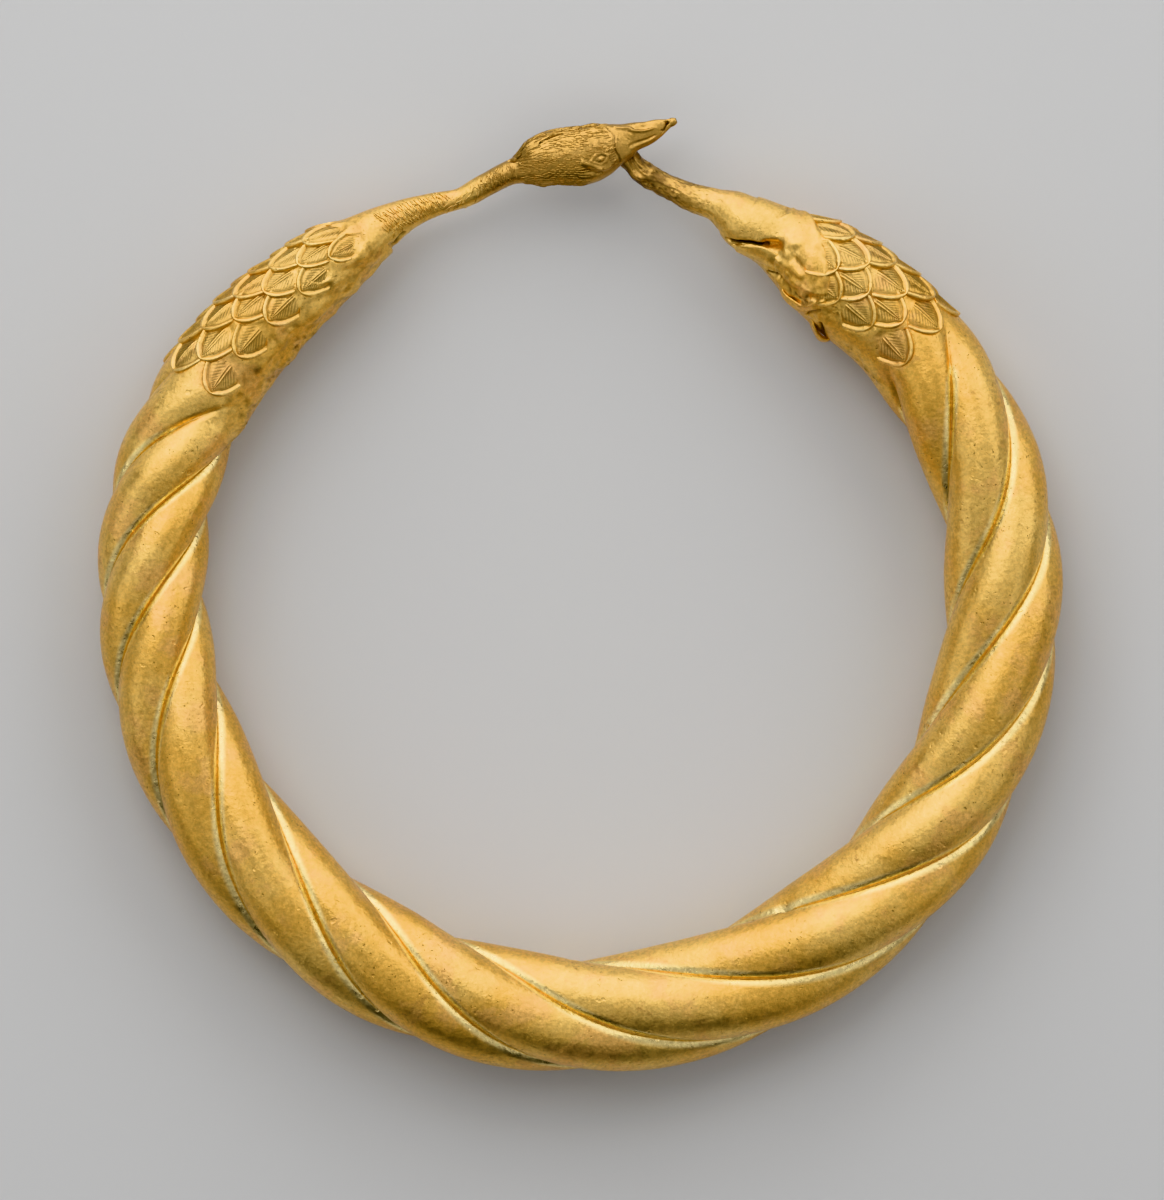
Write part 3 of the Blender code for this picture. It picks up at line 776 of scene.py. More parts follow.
# %% One flat feather
FEATHER_STEP = 5.1          # from tip to tip in a row
ROW_STEP = 3.1              # from row to row
BARB_LINES = 20             # on each side of the rib
ARC_SHARE = 0.55            # of the outline that is the round tip
ROUNDNESS = 0.78            # of the tip, where less is blunter
SIDE_LENGTH = 2.9           # behind the round tip
NARROWING = 0.85            # of the width towards the rear end
FEATHER_RELIEF = 0.32       # height of its tip
FEATHER_SLOPE = 3.4         # from the tip to where that height has faded
FEATHER_SINK = 0.12         # how far the flat of it lies below the plain shoulder
FEATHER_REAR = 0.36         # how much lower its rear end lies
REAR_PLACE = (3.1, 4.8)     # where that end begins and is down, from the tip
BARB_HEIGHT = 0.16
BARB_SLANT = 0.8            # along for each millimetre across
# The barbs' furrows and the plate are darkened: painted shade and dirt.
BARB_SHADE_AND_DIRT = 0.5
PLATE_SHADE_AND_DIRT = 0.15
RIB_START = 0.75            # from the tip to the rib's front end
RIM_ROOM = 1.9              # where the barbs are shorter than this, rim and rib are narrower
FEATHER_SWAY = 0.05         # how far a copy may turn, in radians
FEATHER_SPREAD = 0.05       # how much its size may differ, as a share
FEATHER_SEED = 7
# Steps across the rim, from the outline inwards: distance, height and darkening.
# Painted shade and dirt at the foot and inner line; below zero, wear and a painted highlight.
RIM = ((0.0, -0.75, 0.5), (0.04, -0.1, 0.2), (0.13, 0.1, -0.3), (0.3, 0.18, -0.5), (0.48, 0.15, -0.3),
       (0.63, 0.03, 0.1), (0.74, -0.1, 0.5), (0.85, -0.1, 0.5), (0.98, -0.01, 0.15))
# Steps from the plate to the middle of the rib, which is a line between two fine beads.
# The line is darkened, painted shade and dirt; the beads are paler, wear and a painted highlight.
RIB = ((0.40, 0.0, 0.5), (0.26, 0.12, -0.4), (0.13, -0.03, 0.7), (0.0, -0.03, 0.6))


def feather_edge(share):
    """Outline of a feather: distance behind its tip and half width, for 0 at the tip to 1."""
    on_tip = share < ARC_SHARE
    tip_share = share / ARC_SHARE
    side_share = (share - ARC_SHARE) / (1 - ARC_SHARE)
    half = FEATHER_STEP / 2
    along = np.where(on_tip, half * tip_share ** 2, half + SIDE_LENGTH * side_share)
    across = ROW_STEP * np.where(on_tip, tip_share ** ROUNDNESS, 1 - NARROWING * side_share)
    return along, across


def make_feather():
    count = 4 * BARB_LINES + 1
    share = np.abs(np.linspace(-1.0, 1.0, count))
    sign = np.sign(np.linspace(-1.0, 1.0, count))
    along, across = feather_edge(share)
    rib_along = along + BARB_SLANT * across + RIB_START * (1 - share)
    length = np.hypot(rib_along - along, across)
    rows = []
    shrink = np.minimum(1.0, length / RIM_ROOM)
    for inset, height, dirt_and_painted_light in RIM:
        rows.append((inset * shrink / length, height, 0.0, dirt_and_painted_light))
    start, end = RIM[-1][0] * shrink / length, 1 - RIB[0][0] * shrink / length
    for step in (0.33, 0.67):
        rows.append((start + (end - start) * step, -0.01, 1.0, PLATE_SHADE_AND_DIRT))
    for inset, height, dirt_and_painted_light in RIB:
        rows.append((1 - inset * shrink / length, height, 0.0, dirt_and_painted_light))
    points, recess = [], []
    zigzag = np.where(np.arange(count) % 2 == 0, 0.5, -0.5)
    for place, height, barbs, dirt_and_painted_light in rows:
        x = along + (rib_along - along) * place
        y = sign * across * (1 - place)
        rear = smooth_step(*REAR_PLACE, x)
        plate = FEATHER_RELIEF * np.clip(1 - x / FEATHER_SLOPE, 0, None)
        plate = plate - FEATHER_SINK - FEATHER_REAR * rear
        # The foot of the rim goes down into the skin, however high the plate is.
        if height < -0.5:
            plate = np.zeros_like(x)
        z = plate + height * (1 - rear * (height > 0)) + BARB_HEIGHT * barbs * zigzag
        points.append(np.stack([x, y, z], -1))
        recess.append(dirt_and_painted_light + BARB_SHADE_AND_DIRT * barbs * (zigzag < 0) + 0 * x)
    return np.array(points), np.array(recess)


def feather_object():
    points, recess = make_feather()
    rows, columns = recess.shape
    mesh = bmesh.new()
    dirt_and_painted_light = mesh.verts.layers.float.new("recess")
    net_verts = []
    for row in range(rows):
        line = []
        for column in range(columns):
            mirrored = row == rows - 1 and column > columns // 2
            if mirrored:
                line.append(line[columns - 1 - column])
                continue
            vert = mesh.verts.new(points[row, column])
            vert[dirt_and_painted_light] = recess[row, column]
            line.append(vert)
        net_verts.append(line)
    for row in range(rows - 1):
        for column in range(columns - 1):
            corners = [net_verts[row][column], net_verts[row][column + 1],
                       net_verts[row + 1][column + 1], net_verts[row + 1][column]]
            unique = list(dict.fromkeys(corners))
            if len(unique) > 2:
                mesh.faces.new(unique)
    return finished_stamp("feather", mesh)


def finished_stamp(name, mesh):
    """Closes a stamp's underside and makes it an object."""
    holes = [edge for edge in mesh.edges if edge.is_boundary]
    bmesh.ops.contextual_create(mesh, geom=holes)
    bmesh.ops.recalc_face_normals(mesh, faces=mesh.faces)
    data = bpy.data.meshes.new(name)
    mesh.to_mesh(data)
    mesh.free()
    stamp = bpy.data.objects.new(name, data)
    bpy.context.scene.collection.objects.link(stamp)
    return stamp


feather = feather_object()
print("one feather has", len(feather.data.polygons), "faces")

# %% The feather plan
# Turn angle of each row, and the ring angles of its tips.
LEFT_ROWS = (
    (97.0, (298.4, 304.7, 310.9, 317.0)), (84.0, (323.1,)),
    (66.0, (301.4, 308.1, 313.3, 319.2)),
    (41.0, (298.4, 304.6, 310.2, 316.0, 321.5)),
    (14.5, (301.5, 307.8, 313.5, 319.5)),
    (-12.0, (298.6, 304.7, 310.8, 317.0, 322.5)),
    (-38.5, (301.6, 307.8, 314.0, 320.0)),
    (-65.0, (298.6, 304.8, 311.0, 317.2)),
)
RIGHT_ROWS = (
    (109.0, (54.6, 47.2, 41.2)), (84.0, (50.0, 43.9, 38.4)),
    (58.0, (54.0, 47.8, 41.4)), (33.0, (50.4, 44.2, 37.6)),
    (7.0, (54.0, 47.6, 41.2, 35.0)), (-18.5, (50.6, 44.3, 38.0)),
    (-44.0, (53.8, 47.5, 41.2)),
)


def feather_plan():
    points, headings = [], []
    for rows, heading in ((LEFT_ROWS, 0.0), (RIGHT_ROWS, np.pi)):
        for turn, tips in rows:
            for tip in tips:
                points.append((tip * ALONG, turn * ROUND, 0.0))
                headings.append(heading)
    return np.array(points), np.array(headings)


def plan_mesh(name, points, headings, sizes):
    """Points on the flat sheet where a stamp's copies go."""
    mesh = bpy.data.meshes.new(name)
    mesh.from_pydata([tuple(point) for point in points], [], [])
    store(mesh, "heading", "FLOAT", headings)
    store(mesh, "size", "FLOAT_VECTOR", sizes)
    return mesh


tips, headings = feather_plan()
plan = plan_mesh("feather_plan", tips, headings, np.ones_like(tips))
print("the plan has", len(tips), "feathers")


# %% The tree that lays the copies
def make_stamp_tree():
    """Copies a stamp to each point of a plan, and rolls the copies up."""
    tree, given, result = new_tree("stamped_copies", (
        ("Geometry", "Geometry", None), ("Centre Line", "Object", None), ("Stamp", "Object", None),
        ("Sway", "Float", FEATHER_SWAY), ("Size Spread", "Float", FEATHER_SPREAD),
        ("Seed", "Int", FEATHER_SEED), ("Material", "Material", None)))
    stamp = node(tree, "GeometryNodeObjectInfo", given["Stamp"]).outputs["Geometry"]

    def random(low, high, add):
        made = node(tree, "FunctionNodeRandomValue", data_type="FLOAT")
        for name, value in (("Min", low), ("Max", high), ("Seed", calc(tree, "ADD", given["Seed"], add))):
            plug(tree, value, next(s for s in made.inputs if s.name == name and s.enabled))
        return next(s for s in made.outputs if s.enabled)

    sway = random(calc(tree, "MULTIPLY", given["Sway"], -1.0), given["Sway"], 0.0)
    heading = calc(tree, "ADD", named(tree, "heading"), sway)
    small = calc(tree, "SUBTRACT", 1.0, given["Size Spread"])
    large = calc(tree, "ADD", 1.0, given["Size Spread"])
    spread = combined(tree, random(small, large, 1.0), random(small, large, 2.0), 1.0)
    copies = node(tree, "GeometryNodeInstanceOnPoints")
    plug(tree, given["Geometry"], copies.inputs["Points"])
    plug(tree, stamp, copies.inputs["Instance"])
    plug(tree, combined(tree, 0.0, 0.0, heading), copies.inputs["Rotation"])
    size = vector_calc(tree, "MULTIPLY", named(tree, "size", "FLOAT_VECTOR"), spread)
    plug(tree, size, copies.inputs["Scale"])
    flat = node(tree, "GeometryNodeRealizeInstances", copies.outputs[0]).outputs[0]
    close_tree(tree, rolled_up(tree, flat, given["Centre Line"]), given["Material"], result)
    return tree


stamp_tree = make_stamp_tree()
feathers = run_tree("shoulder_feathers", stamp_tree, plan, stamp=feather, sway=FEATHER_SWAY,
                    size_spread=FEATHER_SPREAD, seed=FEATHER_SEED)
print("feathers with", len(feathers.data.polygons), "faces")

# %% [markdown]
# ## Chasing the skin
# Places on the armlet are given by ring angle and turn angle, read from the real one. A chased
# line is a short path of such places, raised or sunk by a soft ridge. A swell is a round bump or
# dent. A ledge is the edge of a torn sheet: it stands up on one side of its path and fades out.
# A brush in sculpt mode could do the same. Written down, each mark can be read and changed.

# %% Tools for chasing
skin_ring = values_of(skin.data, "ring_angle")
skin_turn = values_of(skin.data, "turn")
shift = np.zeros_like(skin_ring)        # how far each vertex moves outwards, in millimetres
dirt_and_painted_light = np.zeros_like(skin_ring)         # how dark it is made, 0 to 1: dirt and painted shade
LEDGE_END = 0.6                         # a ledge fades out this far past the ends of its path


def girth_at(angle):
    """Mean radius of the tube at a ring angle."""
    return (curve_through(ANGLES, HALF_WIDTHS, angle) + curve_through(ANGLES, HALF_HEIGHTS, angle)) / 2


def lay_flat(rings, turns, about):
    """Millimetres along and round the tube, counted from a place near by."""
    along = np.radians(rings - about[0]) * curve_through(ANGLES, RADII, about[0])
    around = np.radians((turns - about[1] + 180) % 360 - 180) * girth_at(about[0])
    return along, around


def from_path(path):
    """For each vertex of the skin: distance to a path, its side, and how far past the path's ends."""
    path = np.array(path, float)
    middle = path[len(path) // 2]
    along, around = lay_flat(skin_ring, skin_turn, middle)
    knots = np.stack(lay_flat(path[:, 0], path[:, 1], middle), -1)
    best = np.full(len(along), np.inf)
    side = np.zeros_like(best)
    past = np.zeros_like(best)
    for place, (start, end) in enumerate(zip(knots, knots[1:])):
        way = end - start
        share = ((along - start[0]) * way[0] + (around - start[1]) * way[1]) / (way @ way)
        held = np.clip(share, 0, 1)
        off_along = along - start[0] - held * way[0]
        off_around = around - start[1] - held * way[1]
        distance = np.hypot(off_along, off_around)
        closer = distance < best
        best[closer] = distance[closer]
        side[closer] = np.sign(way[0] * off_around - way[1] * off_along)[closer]
        before = np.clip(-share, 0, None) if place == 0 else 0 * share
        after = np.clip(share - 1, 0, None) if place == len(knots) - 2 else 0 * share
        past[closer] = ((before + after) * np.hypot(*way))[closer]
    return best, side, past


def chase(height, width, *path, shade_and_soil=0.0):
    """Raises or sinks a soft line along a path, and may darken it with painted shade and dirt."""
    distance = from_path(path)[0]
    line = np.exp(-(distance / width) ** 2)
    shift[:] += height * line
    dirt_and_painted_light[:] = np.maximum(dirt_and_painted_light, shade_and_soil * line)


def soil_line(width, *path):
    """Blackens a strip along a path, as painted shade at the bottom of a slot."""
    distance = from_path(path)[0]
    dirt_and_painted_light[:] = np.maximum(dirt_and_painted_light, smooth_step(1.3 * width, 0.7 * width, distance))


def swell(height, along_reach, around_reach, *place, shade_and_soil=0.0):
    """Raises or sinks a round patch, and may darken it with painted shade and dirt."""
    along, around = lay_flat(skin_ring, skin_turn, place)
    bell = np.exp(-(along / along_reach) ** 2 - (around / around_reach) ** 2)
    shift[:] += height * bell
    dirt_and_painted_light[:] = np.maximum(dirt_and_painted_light, shade_and_soil * bell)


def ledge(height, width, reach, *path):
    """Lifts the sheet on the left of a path, steeply at the path and fading away from it."""
    distance, side, past = from_path(path)
    signed = distance * side
    edge = smooth_step(-width, width, signed) * np.exp(-np.clip(signed, 0, None) / reach)
    shift[:] += height * edge * np.exp(-(past / LEDGE_END) ** 2)


def noise_round(scale, size, layer):
    """Noise that closes round the tube: its scale along and round, and a layer number."""
    turns = np.radians(skin_turn)
    return np.array([noise.noise((r * scale, c * size, s * size + layer))
                     for r, c, s in zip(skin_ring, np.cos(turns), np.sin(turns))])


print("tools ready for", len(shift), "vertices")

# %% Seats for the feathers, and painted shade and dirt in the grooves
SEAT_DEPTH = 0.3            # the skin is sunk this far under the feathers
SEAT_TIP = (0.3, 0.7)       # behind a feather's tip, where its seat begins and has its depth
SEAT_REAR = (5.2, 4.6)
SEAT_EDGE = (0.15, 0.6)     # inside the feather's outline
ROOT_SOFTNESS = 0.25
OUTLINE_POINTS = 60
LINE_SHADE_AND_DIRT = 0.15            # painted shade and dirt in the fine line of each groove
# Where the plain sheet of each neck ends and the feathers begin: turn angle, ring angle.
RIGHT_ROOT = ((-90, 31.0), (10, 30.8), (35, 32.0), (55, 33.4), (82, 36.6), (105, 39.0), (140, 41.0))
LEFT_ROOT = ((-90, 326.0), (20, 327.0), (60, 328.2), (100, 328.6), (140, 328.0))


def feather_cover(rings, turns):
    """1 where a feather lies on the skin, and 0 well outside."""
    cover = np.zeros_like(rings)
    x, y = rings * ALONG, turns * ROUND
    around = 360 * ROUND
    edge_along, edge_across = feather_edge(np.linspace(0, 1, OUTLINE_POINTS))
    for (tip_x, tip_y, _), heading in zip(tips, headings):
        behind = (x - tip_x) * np.cos(heading)
        sideways = np.abs((y - tip_y + around / 2) % around - around / 2)
        room = np.interp(behind, edge_along, edge_across) - sideways
        inside = smooth_step(*SEAT_TIP, behind) * smooth_step(*SEAT_REAR, behind)
        cover = np.maximum(cover, inside * smooth_step(*SEAT_EDGE, room))
    level_turn = (turns + 90) % 360 - 90
    past_right = rings - np.interp(level_turn, *np.transpose(RIGHT_ROOT))
    past_left = rings - np.interp(level_turn, *np.transpose(LEFT_ROOT))
    right = smooth_step(-ROOT_SOFTNESS, ROOT_SOFTNESS, past_right)
    left = smooth_step(ROOT_SOFTNESS, -ROOT_SOFTNESS, past_left)
    return cover * np.where(rings < 180, right, left)


shift -= SEAT_DEPTH * feather_cover(skin_ring, skin_turn)
from_groove = values_of(skin.data, "from_groove")
dirt_and_painted_light = np.maximum(dirt_and_painted_light, LINE_SHADE_AND_DIRT * np.exp(-(from_groove / LINE_EDGE) ** 2))
print("dirt in", int(np.sum(dirt_and_painted_light > LINE_SHADE_AND_DIRT / 2)), "vertices of the grooves")

# %% [markdown]
# The bird's head lies on its side. The cheek that faces up has an eye under a brow, a ridge along
# the bill, and a seam that has cracked open over the crown. The far cheek repeats the eye, the
# brow and the bill, and stays plainer.

# %% The head
TIP_SWELL = 0.22            # the bill is thicker again at its broken tip
CREASES = 7                 # fine ones between the eye and the bill
# Stained lines and hollows on the head are darkened with painted shade and dirt.
for facing in (1, -1):
    def cheek(ring_angle, turn):
        """A place on the cheek that faces up, or on the far one."""
        return ring_angle, (turn if facing > 0 else 360 - turn) % 360

    # The eye between its lids.
    swell(0.16, 0.26, 0.2, *cheek(362.15, 111))
    chase(0.06, 0.12, cheek(361.0, 107), cheek(361.4, 101), cheek(361.9, 98), cheek(362.6, 100),
          cheek(363.1, 109))
    chase(0.06, 0.12, cheek(361.0, 107), cheek(361.4, 114), cheek(361.9, 121), cheek(362.6, 121),
          cheek(363.1, 112))
    chase(-0.05, 0.08, cheek(361.3, 108), cheek(361.8, 102.5), cheek(362.4, 103.5), cheek(362.85, 110),
          cheek(362.4, 117), cheek(361.8, 117), cheek(361.3, 108), shade_and_soil=0.3)
    # The brow below it, and the hollow under the brow.
    chase(0.16, 0.22, cheek(360.1, 105), cheek(360.9, 115), cheek(361.4, 127), cheek(362.0, 135),
          cheek(362.9, 137), cheek(363.6, 131))
    swell(0.2, 0.45, 0.3, *cheek(361.6, 129))
    swell(-0.3, 0.6, 0.35, *cheek(360.5, 131))
    swell(-0.3, 0.22, 0.13, *cheek(361.4, 140), shade_and_soil=0.9)
    for spread in np.linspace(0.0, 1.0, CREASES):
        start, stop = 104 + 30 * spread, 100 + 42 * spread
        chase(-0.07, 0.06, cheek(363.3 - 0.2 * spread, start), cheek(363.9 - 0.1 * spread, stop), shade_and_soil=0.5)
    # The edge of the face, and the bill with its two ridges.
    chase(-0.14, 0.1, cheek(363.5, 14), cheek(364.0, 33), cheek(364.3, 52), cheek(364.6, 68),
          cheek(364.3, 88), cheek(364.1, 103), cheek(364.1, 112), cheek(364.2, 124), cheek(364.2, 145),
          shade_and_soil=0.6)
    chase(0.22, 0.15, cheek(365.0, 40), cheek(365.8, 47), cheek(366.4, 53), cheek(366.7, 68),
          cheek(367.5, 76), cheek(368.9, 82))
    swell(-0.2, 0.7, 0.42, *cheek(367.9, 56))
    swell(-0.14, 1.0, 0.6, *cheek(366.2, 95))
    chase(-0.14, 0.17, cheek(365.8, 117), cheek(367.0, 121), cheek(368.6, 122), shade_and_soil=0.25)
    chase(0.13, 0.14, cheek(365.9, 130), cheek(367.1, 133), cheek(368.7, 131))

# Small beads between the eye and the bill, and the step from the face to the bill.
BEADS = ((363.1, 90), (363.6, 87), (364.05, 87), (363.75, 98), (363.15, 98), (363.4, 80), (363.95, 77))
for place in BEADS:
    swell(0.13, 0.14, 0.12, *place)
ledge(0.12, 0.1, 1.2, (364.1, 140), (364.2, 92), (364.2, 60), (363.6, 24))
# The seam that has cracked open, with its rim, and the crack at the back of the head.
# Both cracks are painted dark inside, as painted shade.
chase(-0.6, 0.12, (355.4, 48), (356.2, 45), (356.8, 41), (357.6, 37), shade_and_soil=1.0)
chase(-0.1, 0.08, (357.6, 37), (358.5, 36), shade_and_soil=0.5)
chase(0.10, 0.16, (355.3, 54), (356.3, 50), (357.6, 43))
chase(-0.45, 0.14, (350.9, 28), (351.1, 38), (351.5, 50), (352.1, 46), (352.8, 34), (353.3, 24), shade_and_soil=0.8)
chase(0.12, 0.14, (353.0, 40), (353.9, 33), (354.7, 33))
# The bill's tip has broken off with a piece of its sheet.
# The break is painted dark, as painted shade.
chase(-0.5, 0.12, (370.4, 54), (370.45, 68), (370.4, 84), shade_and_soil=1.0)
chase(-0.3, 0.09, (370.35, 84), (370.2, 104), (369.95, 122), (369.8, 140), shade_and_soil=1.0)
shift += TIP_SWELL * smooth_step(370.5, 371.1, skin_ring)
chase(-0.2, 0.08, (369.6, 116), (369.75, 124), (369.65, 132), shade_and_soil=0.9)
print("the head's relief runs from", round(float(shift[skin_ring > 350].min()), 2), "to",
      round(float(shift[skin_ring > 350].max()), 2), "mm")

# %% [markdown]
# Damage stays as it is. The right shoulder is torn on its inner side: a slot opens into a pocket,
# and the sheet below it is folded over in a lip and two curls. On the left a torn tab sticks out
# where the neck begins. The slot is far narrower than a face of the plain hoop, so the net is
# finer there, and the folds and hollows are pressed into it one by one.

# %% The torn right shoulder
# The slot's bottom is painted black as painted shade, and the slot ends in a pocket.
chase(-1.4, 0.17, (23.3, 155), (23.7, 147), (24.4, 136), (25.7, 126), (27.2, 119), (28.0, 116))
soil_line(0.22, (23.4, 154), (23.8, 146), (24.5, 135.5), (25.8, 125.5), (27.3, 118.5))
chase(-0.9, 0.45, (28.0, 113), (28.8, 108), (29.5, 103), shade_and_soil=0.1)
swell(-0.35, 0.8, 0.7, 29.1, 106)
# A fold and a hollow below the pocket, and the second opening with its hollow.
chase(0.25, 0.35, (30.2, 123), (31.6, 121), (33.2, 119), (34.6, 118))
chase(-0.2, 0.3, (31.0, 98), (32.4, 104), (34.0, 108), (35.6, 112))
# The second opening's bottom is painted black, as painted shade, and its hollow darkened.
chase(-1.0, 0.2, (30.4, 155), (31.3, 151), (32.1, 148))
soil_line(0.26, (30.4, 155), (31.3, 151), (32.1, 148))
chase(-0.5, 0.34, (32.2, 150), (33.8, 144), (35.4, 138), shade_and_soil=0.12)
# Folds and creases down to the lower curl, and the gap under its tab.
# The creases are darkened with painted shade and dirt, and the gap is painted black as painted shade.
chase(0.22, 0.24, (32.6, 130), (34.6, 127), (36.3, 126), (37.8, 121))
chase(-0.3, 0.13, (33.0, 149), (34.4, 147), (36.0, 142), (37.6, 139), shade_and_soil=0.9)
chase(0.34, 0.2, (36.8, 152), (37.6, 145), (38.4, 134), (39.5, 121))
chase(-0.3, 0.17, (38.5, 158), (38.9, 147), (39.8, 135), shade_and_soil=0.7)
chase(-0.9, 0.2, (41.1, 151), (41.7, 160), (42.3, 172), shade_and_soil=1.0)
# A crease across the neck's root, and the edge of the sheet that the feathers stand on.
chase(-0.22, 0.16, (28.2, 12), (28.3, 35), (27.6, 55), shade_and_soil=0.3)
chase(0.16, 0.2, (28.8, 12), (28.9, 35), (28.2, 55))
ledge(0.12, 0.2, 1.0, (30.2, 10), (31.6, 34), (32.8, 54), (35.8, 80), (37.6, 98), (39.3, 116))
chase(0.12, 0.3, (30.2, 10), (31.6, 34), (32.8, 54), (35.8, 80), (37.6, 98), (39.3, 116))
chase(0.12, 0.16, (34.9, 60), (35.6, 68), (36.4, 76))
swell(-0.16, 1.4, 1.0, 29.0, 80)
print("deepest at the tear", round(float(shift.min()), 2), "mm")

# %% The crumpled sheet between the tear and the feathers
crumpled = (smooth_step(27.5, 31.0, skin_ring) * smooth_step(45.0, 38.5, skin_ring)
            * smooth_step(50, 75, skin_turn) * smooth_step(175, 150, skin_turn))
shift += crumpled * (0.32 * noise_round(0.45, 2.6, 12.0) + 0.16 * noise_round(1.1, 6.5, 31.0))
dirt_and_painted_light = np.maximum(dirt_and_painted_light, crumpled * np.clip(noise_round(0.8, 4.5, 44.0) * 2.0 - 0.3, 0, 0.3))
print("crumpled over", int(np.sum(crumpled > 0.5)), "vertices")

# %% The left shoulder's root
lumpy = (smooth_step(293.0, 299.0, skin_ring) * smooth_step(331.0, 327.0, skin_ring)
         * smooth_step(100, 118, skin_turn) * smooth_step(190, 170, skin_turn))
shift += lumpy * (0.36 * noise_round(0.35, 2.1, 51.0) + 0.12 * noise_round(1.0, 6.0, 63.0))
dirt_and_painted_light = np.maximum(dirt_and_painted_light, lumpy * np.clip(noise_round(0.9, 5.0, 71.0) * 2.0 - 0.3, 0, 0.3))
# The crack beside the torn tab, the hollow under it, and the raised rim behind the last feathers.
# The crack and the hollow under the tab are darkened as painted shade, the lines behind with dirt too.
chase(-0.4, 0.2, (331.6, 163), (332.4, 152), (333.6, 147), shade_and_soil=1.0)
chase(-0.3, 0.25, (331.4, 190), (331.5, 165), (331.2, 145), shade_and_soil=0.4)
chase(-0.18, 0.3, (328.5, 60), (328.4, 100), (328.7, 135), shade_and_soil=0.25)
swell(0.42, 1.3, 1.2, 327.6, 103)
chase(0.42, 0.24, (318.8, 92), (319.8, 107), (321.4, 112), (322.6, 101), (323.3, 92))
chase(-0.1, 0.2, (329.0, 40), (328.6, 70), (328.4, 92), shade_and_soil=0.5)
# Dents and holes on the inner side, the holes painted dark as painted shade.
swell(-0.25, 0.8, 0.7, 315.0, 118)
swell(-0.22, 0.9, 0.8, 318.0, 124)
swell(-0.45, 0.3, 0.25, 311.4, 160, shade_and_soil=1.0)
swell(-0.3, 0.35, 0.3, 298.2, 150, shade_and_soil=0.8)
swell(-0.2, 0.25, 0.2, 300.6, 128, shade_and_soil=0.8)
chase(0.2, 0.5, (306.0, 128), (309.0, 134), (312.5, 130))
print("raised at the root", round(float(shift[np.abs(skin_ring - 330) < 2].max()), 2), "mm")

# %% [markdown]
# The edges of a tear are thin and stand free, so they can't be pressed out of the skin. Each flap
# is drawn as a few rows of places, smoothed, given the thickness of the sheet and rolled up like
# everything else.

# %% Torn edges of the sheet
FLAP_SHEET = 0.22
FLAP_SMOOTHNESS = 6          # steps between two given places
# Each flap is a list of rows. A row runs from the flap's root to its free edge, as places with
# ring angle, turn angle and height over the skin.
TORN_LIP = (
    ((23.6, 158, 0.15), (23.65, 154, 0.25), (23.7, 150, 0.3)),
    ((24.5, 176, 0.1), (24.5, 158, 0.42), (24.5, 139, 0.5)),
    ((25.6, 176, 0.05), (25.7, 152, 0.42), (25.8, 128, 0.55)),
    ((26.8, 174, 0.0), (26.8, 148, 0.4), (26.8, 122, 0.55)),
    ((27.9, 168, -0.05), (27.9, 143, 0.35), (27.9, 118, 0.5)),
    ((29.2, 160, -0.1), (29.1, 138, 0.3), (29.0, 116, 0.42)),
    ((30.6, 155, -0.3), (30.5, 136, 0.0), (30.2, 117, 0.1)),
)
UPPER_CURL = (
    ((32.6, 174, -0.4), (32.7, 164, 0.0), (32.8, 156, -0.1)),
    ((34.0, 178, -0.1), (34.0, 166, 0.35), (34.0, 156, 0.35)),
    ((35.5, 176, -0.1), (35.5, 163, 0.42), (35.6, 151, 0.4)),
    ((37.0, 174, -0.1), (37.0, 160, 0.35), (37.0, 148, 0.35)),
    ((38.4, 168, -0.4), (38.5, 156, -0.05), (38.5, 146, -0.1)),
)
LOWER_CURL = (
    ((39.2, 178, -0.3), (39.3, 168, 0.0), (39.4, 160, -0.1)),
    ((40.3, 184, 0.0), (40.3, 173, 0.35), (40.3, 162, 0.3)),
    ((41.4, 188, 0.2), (41.4, 178, 0.6), (41.4, 166, 0.55)),
    ((42.4, 190, 0.3), (42.4, 181, 0.8), (42.4, 170, 0.6)),
    ((43.3, 190, 0.1), (43.3, 182, 0.5), (43.3, 174, 0.3)),
    ((43.8, 188, -0.4), (43.8, 182, -0.1), (43.8, 176, -0.3)),
)
LEFT_TAB = (
    ((327.4, 125, -0.4), (329.0, 126, -0.12), (330.4, 127, -0.2)),
    ((327.4, 145, -0.3), (329.3, 146, 0.05), (330.9, 146, 0.1)),
    ((327.4, 165, -0.3), (329.4, 166, 0.15), (331.0, 165, 0.25)),
    ((327.4, 182, -0.3), (329.4, 182, 0.15), (330.8, 183, 0.3)),
    ((327.6, 200, -0.3), (329.3, 200, 0.05), (330.5, 200, 0.05)),
    ((327.8, 218, -0.4), (329.0, 218, -0.15), (330.0, 218, -0.25)),
)


def spread_out(values, axis):
    """Smooth curve through equally spaced values, with more steps."""
    values = np.moveaxis(values, axis, 0)
    places = np.arange(len(values))
    fine = np.linspace(0, len(values) - 1, FLAP_SMOOTHNESS * (len(values) - 1) + 1)
    columns = [curve_through(places, column, fine) for column in values.reshape(len(values), -1).T]
    return np.moveaxis(np.array(columns).T.reshape((len(fine),) + values.shape[1:]), 0, axis)


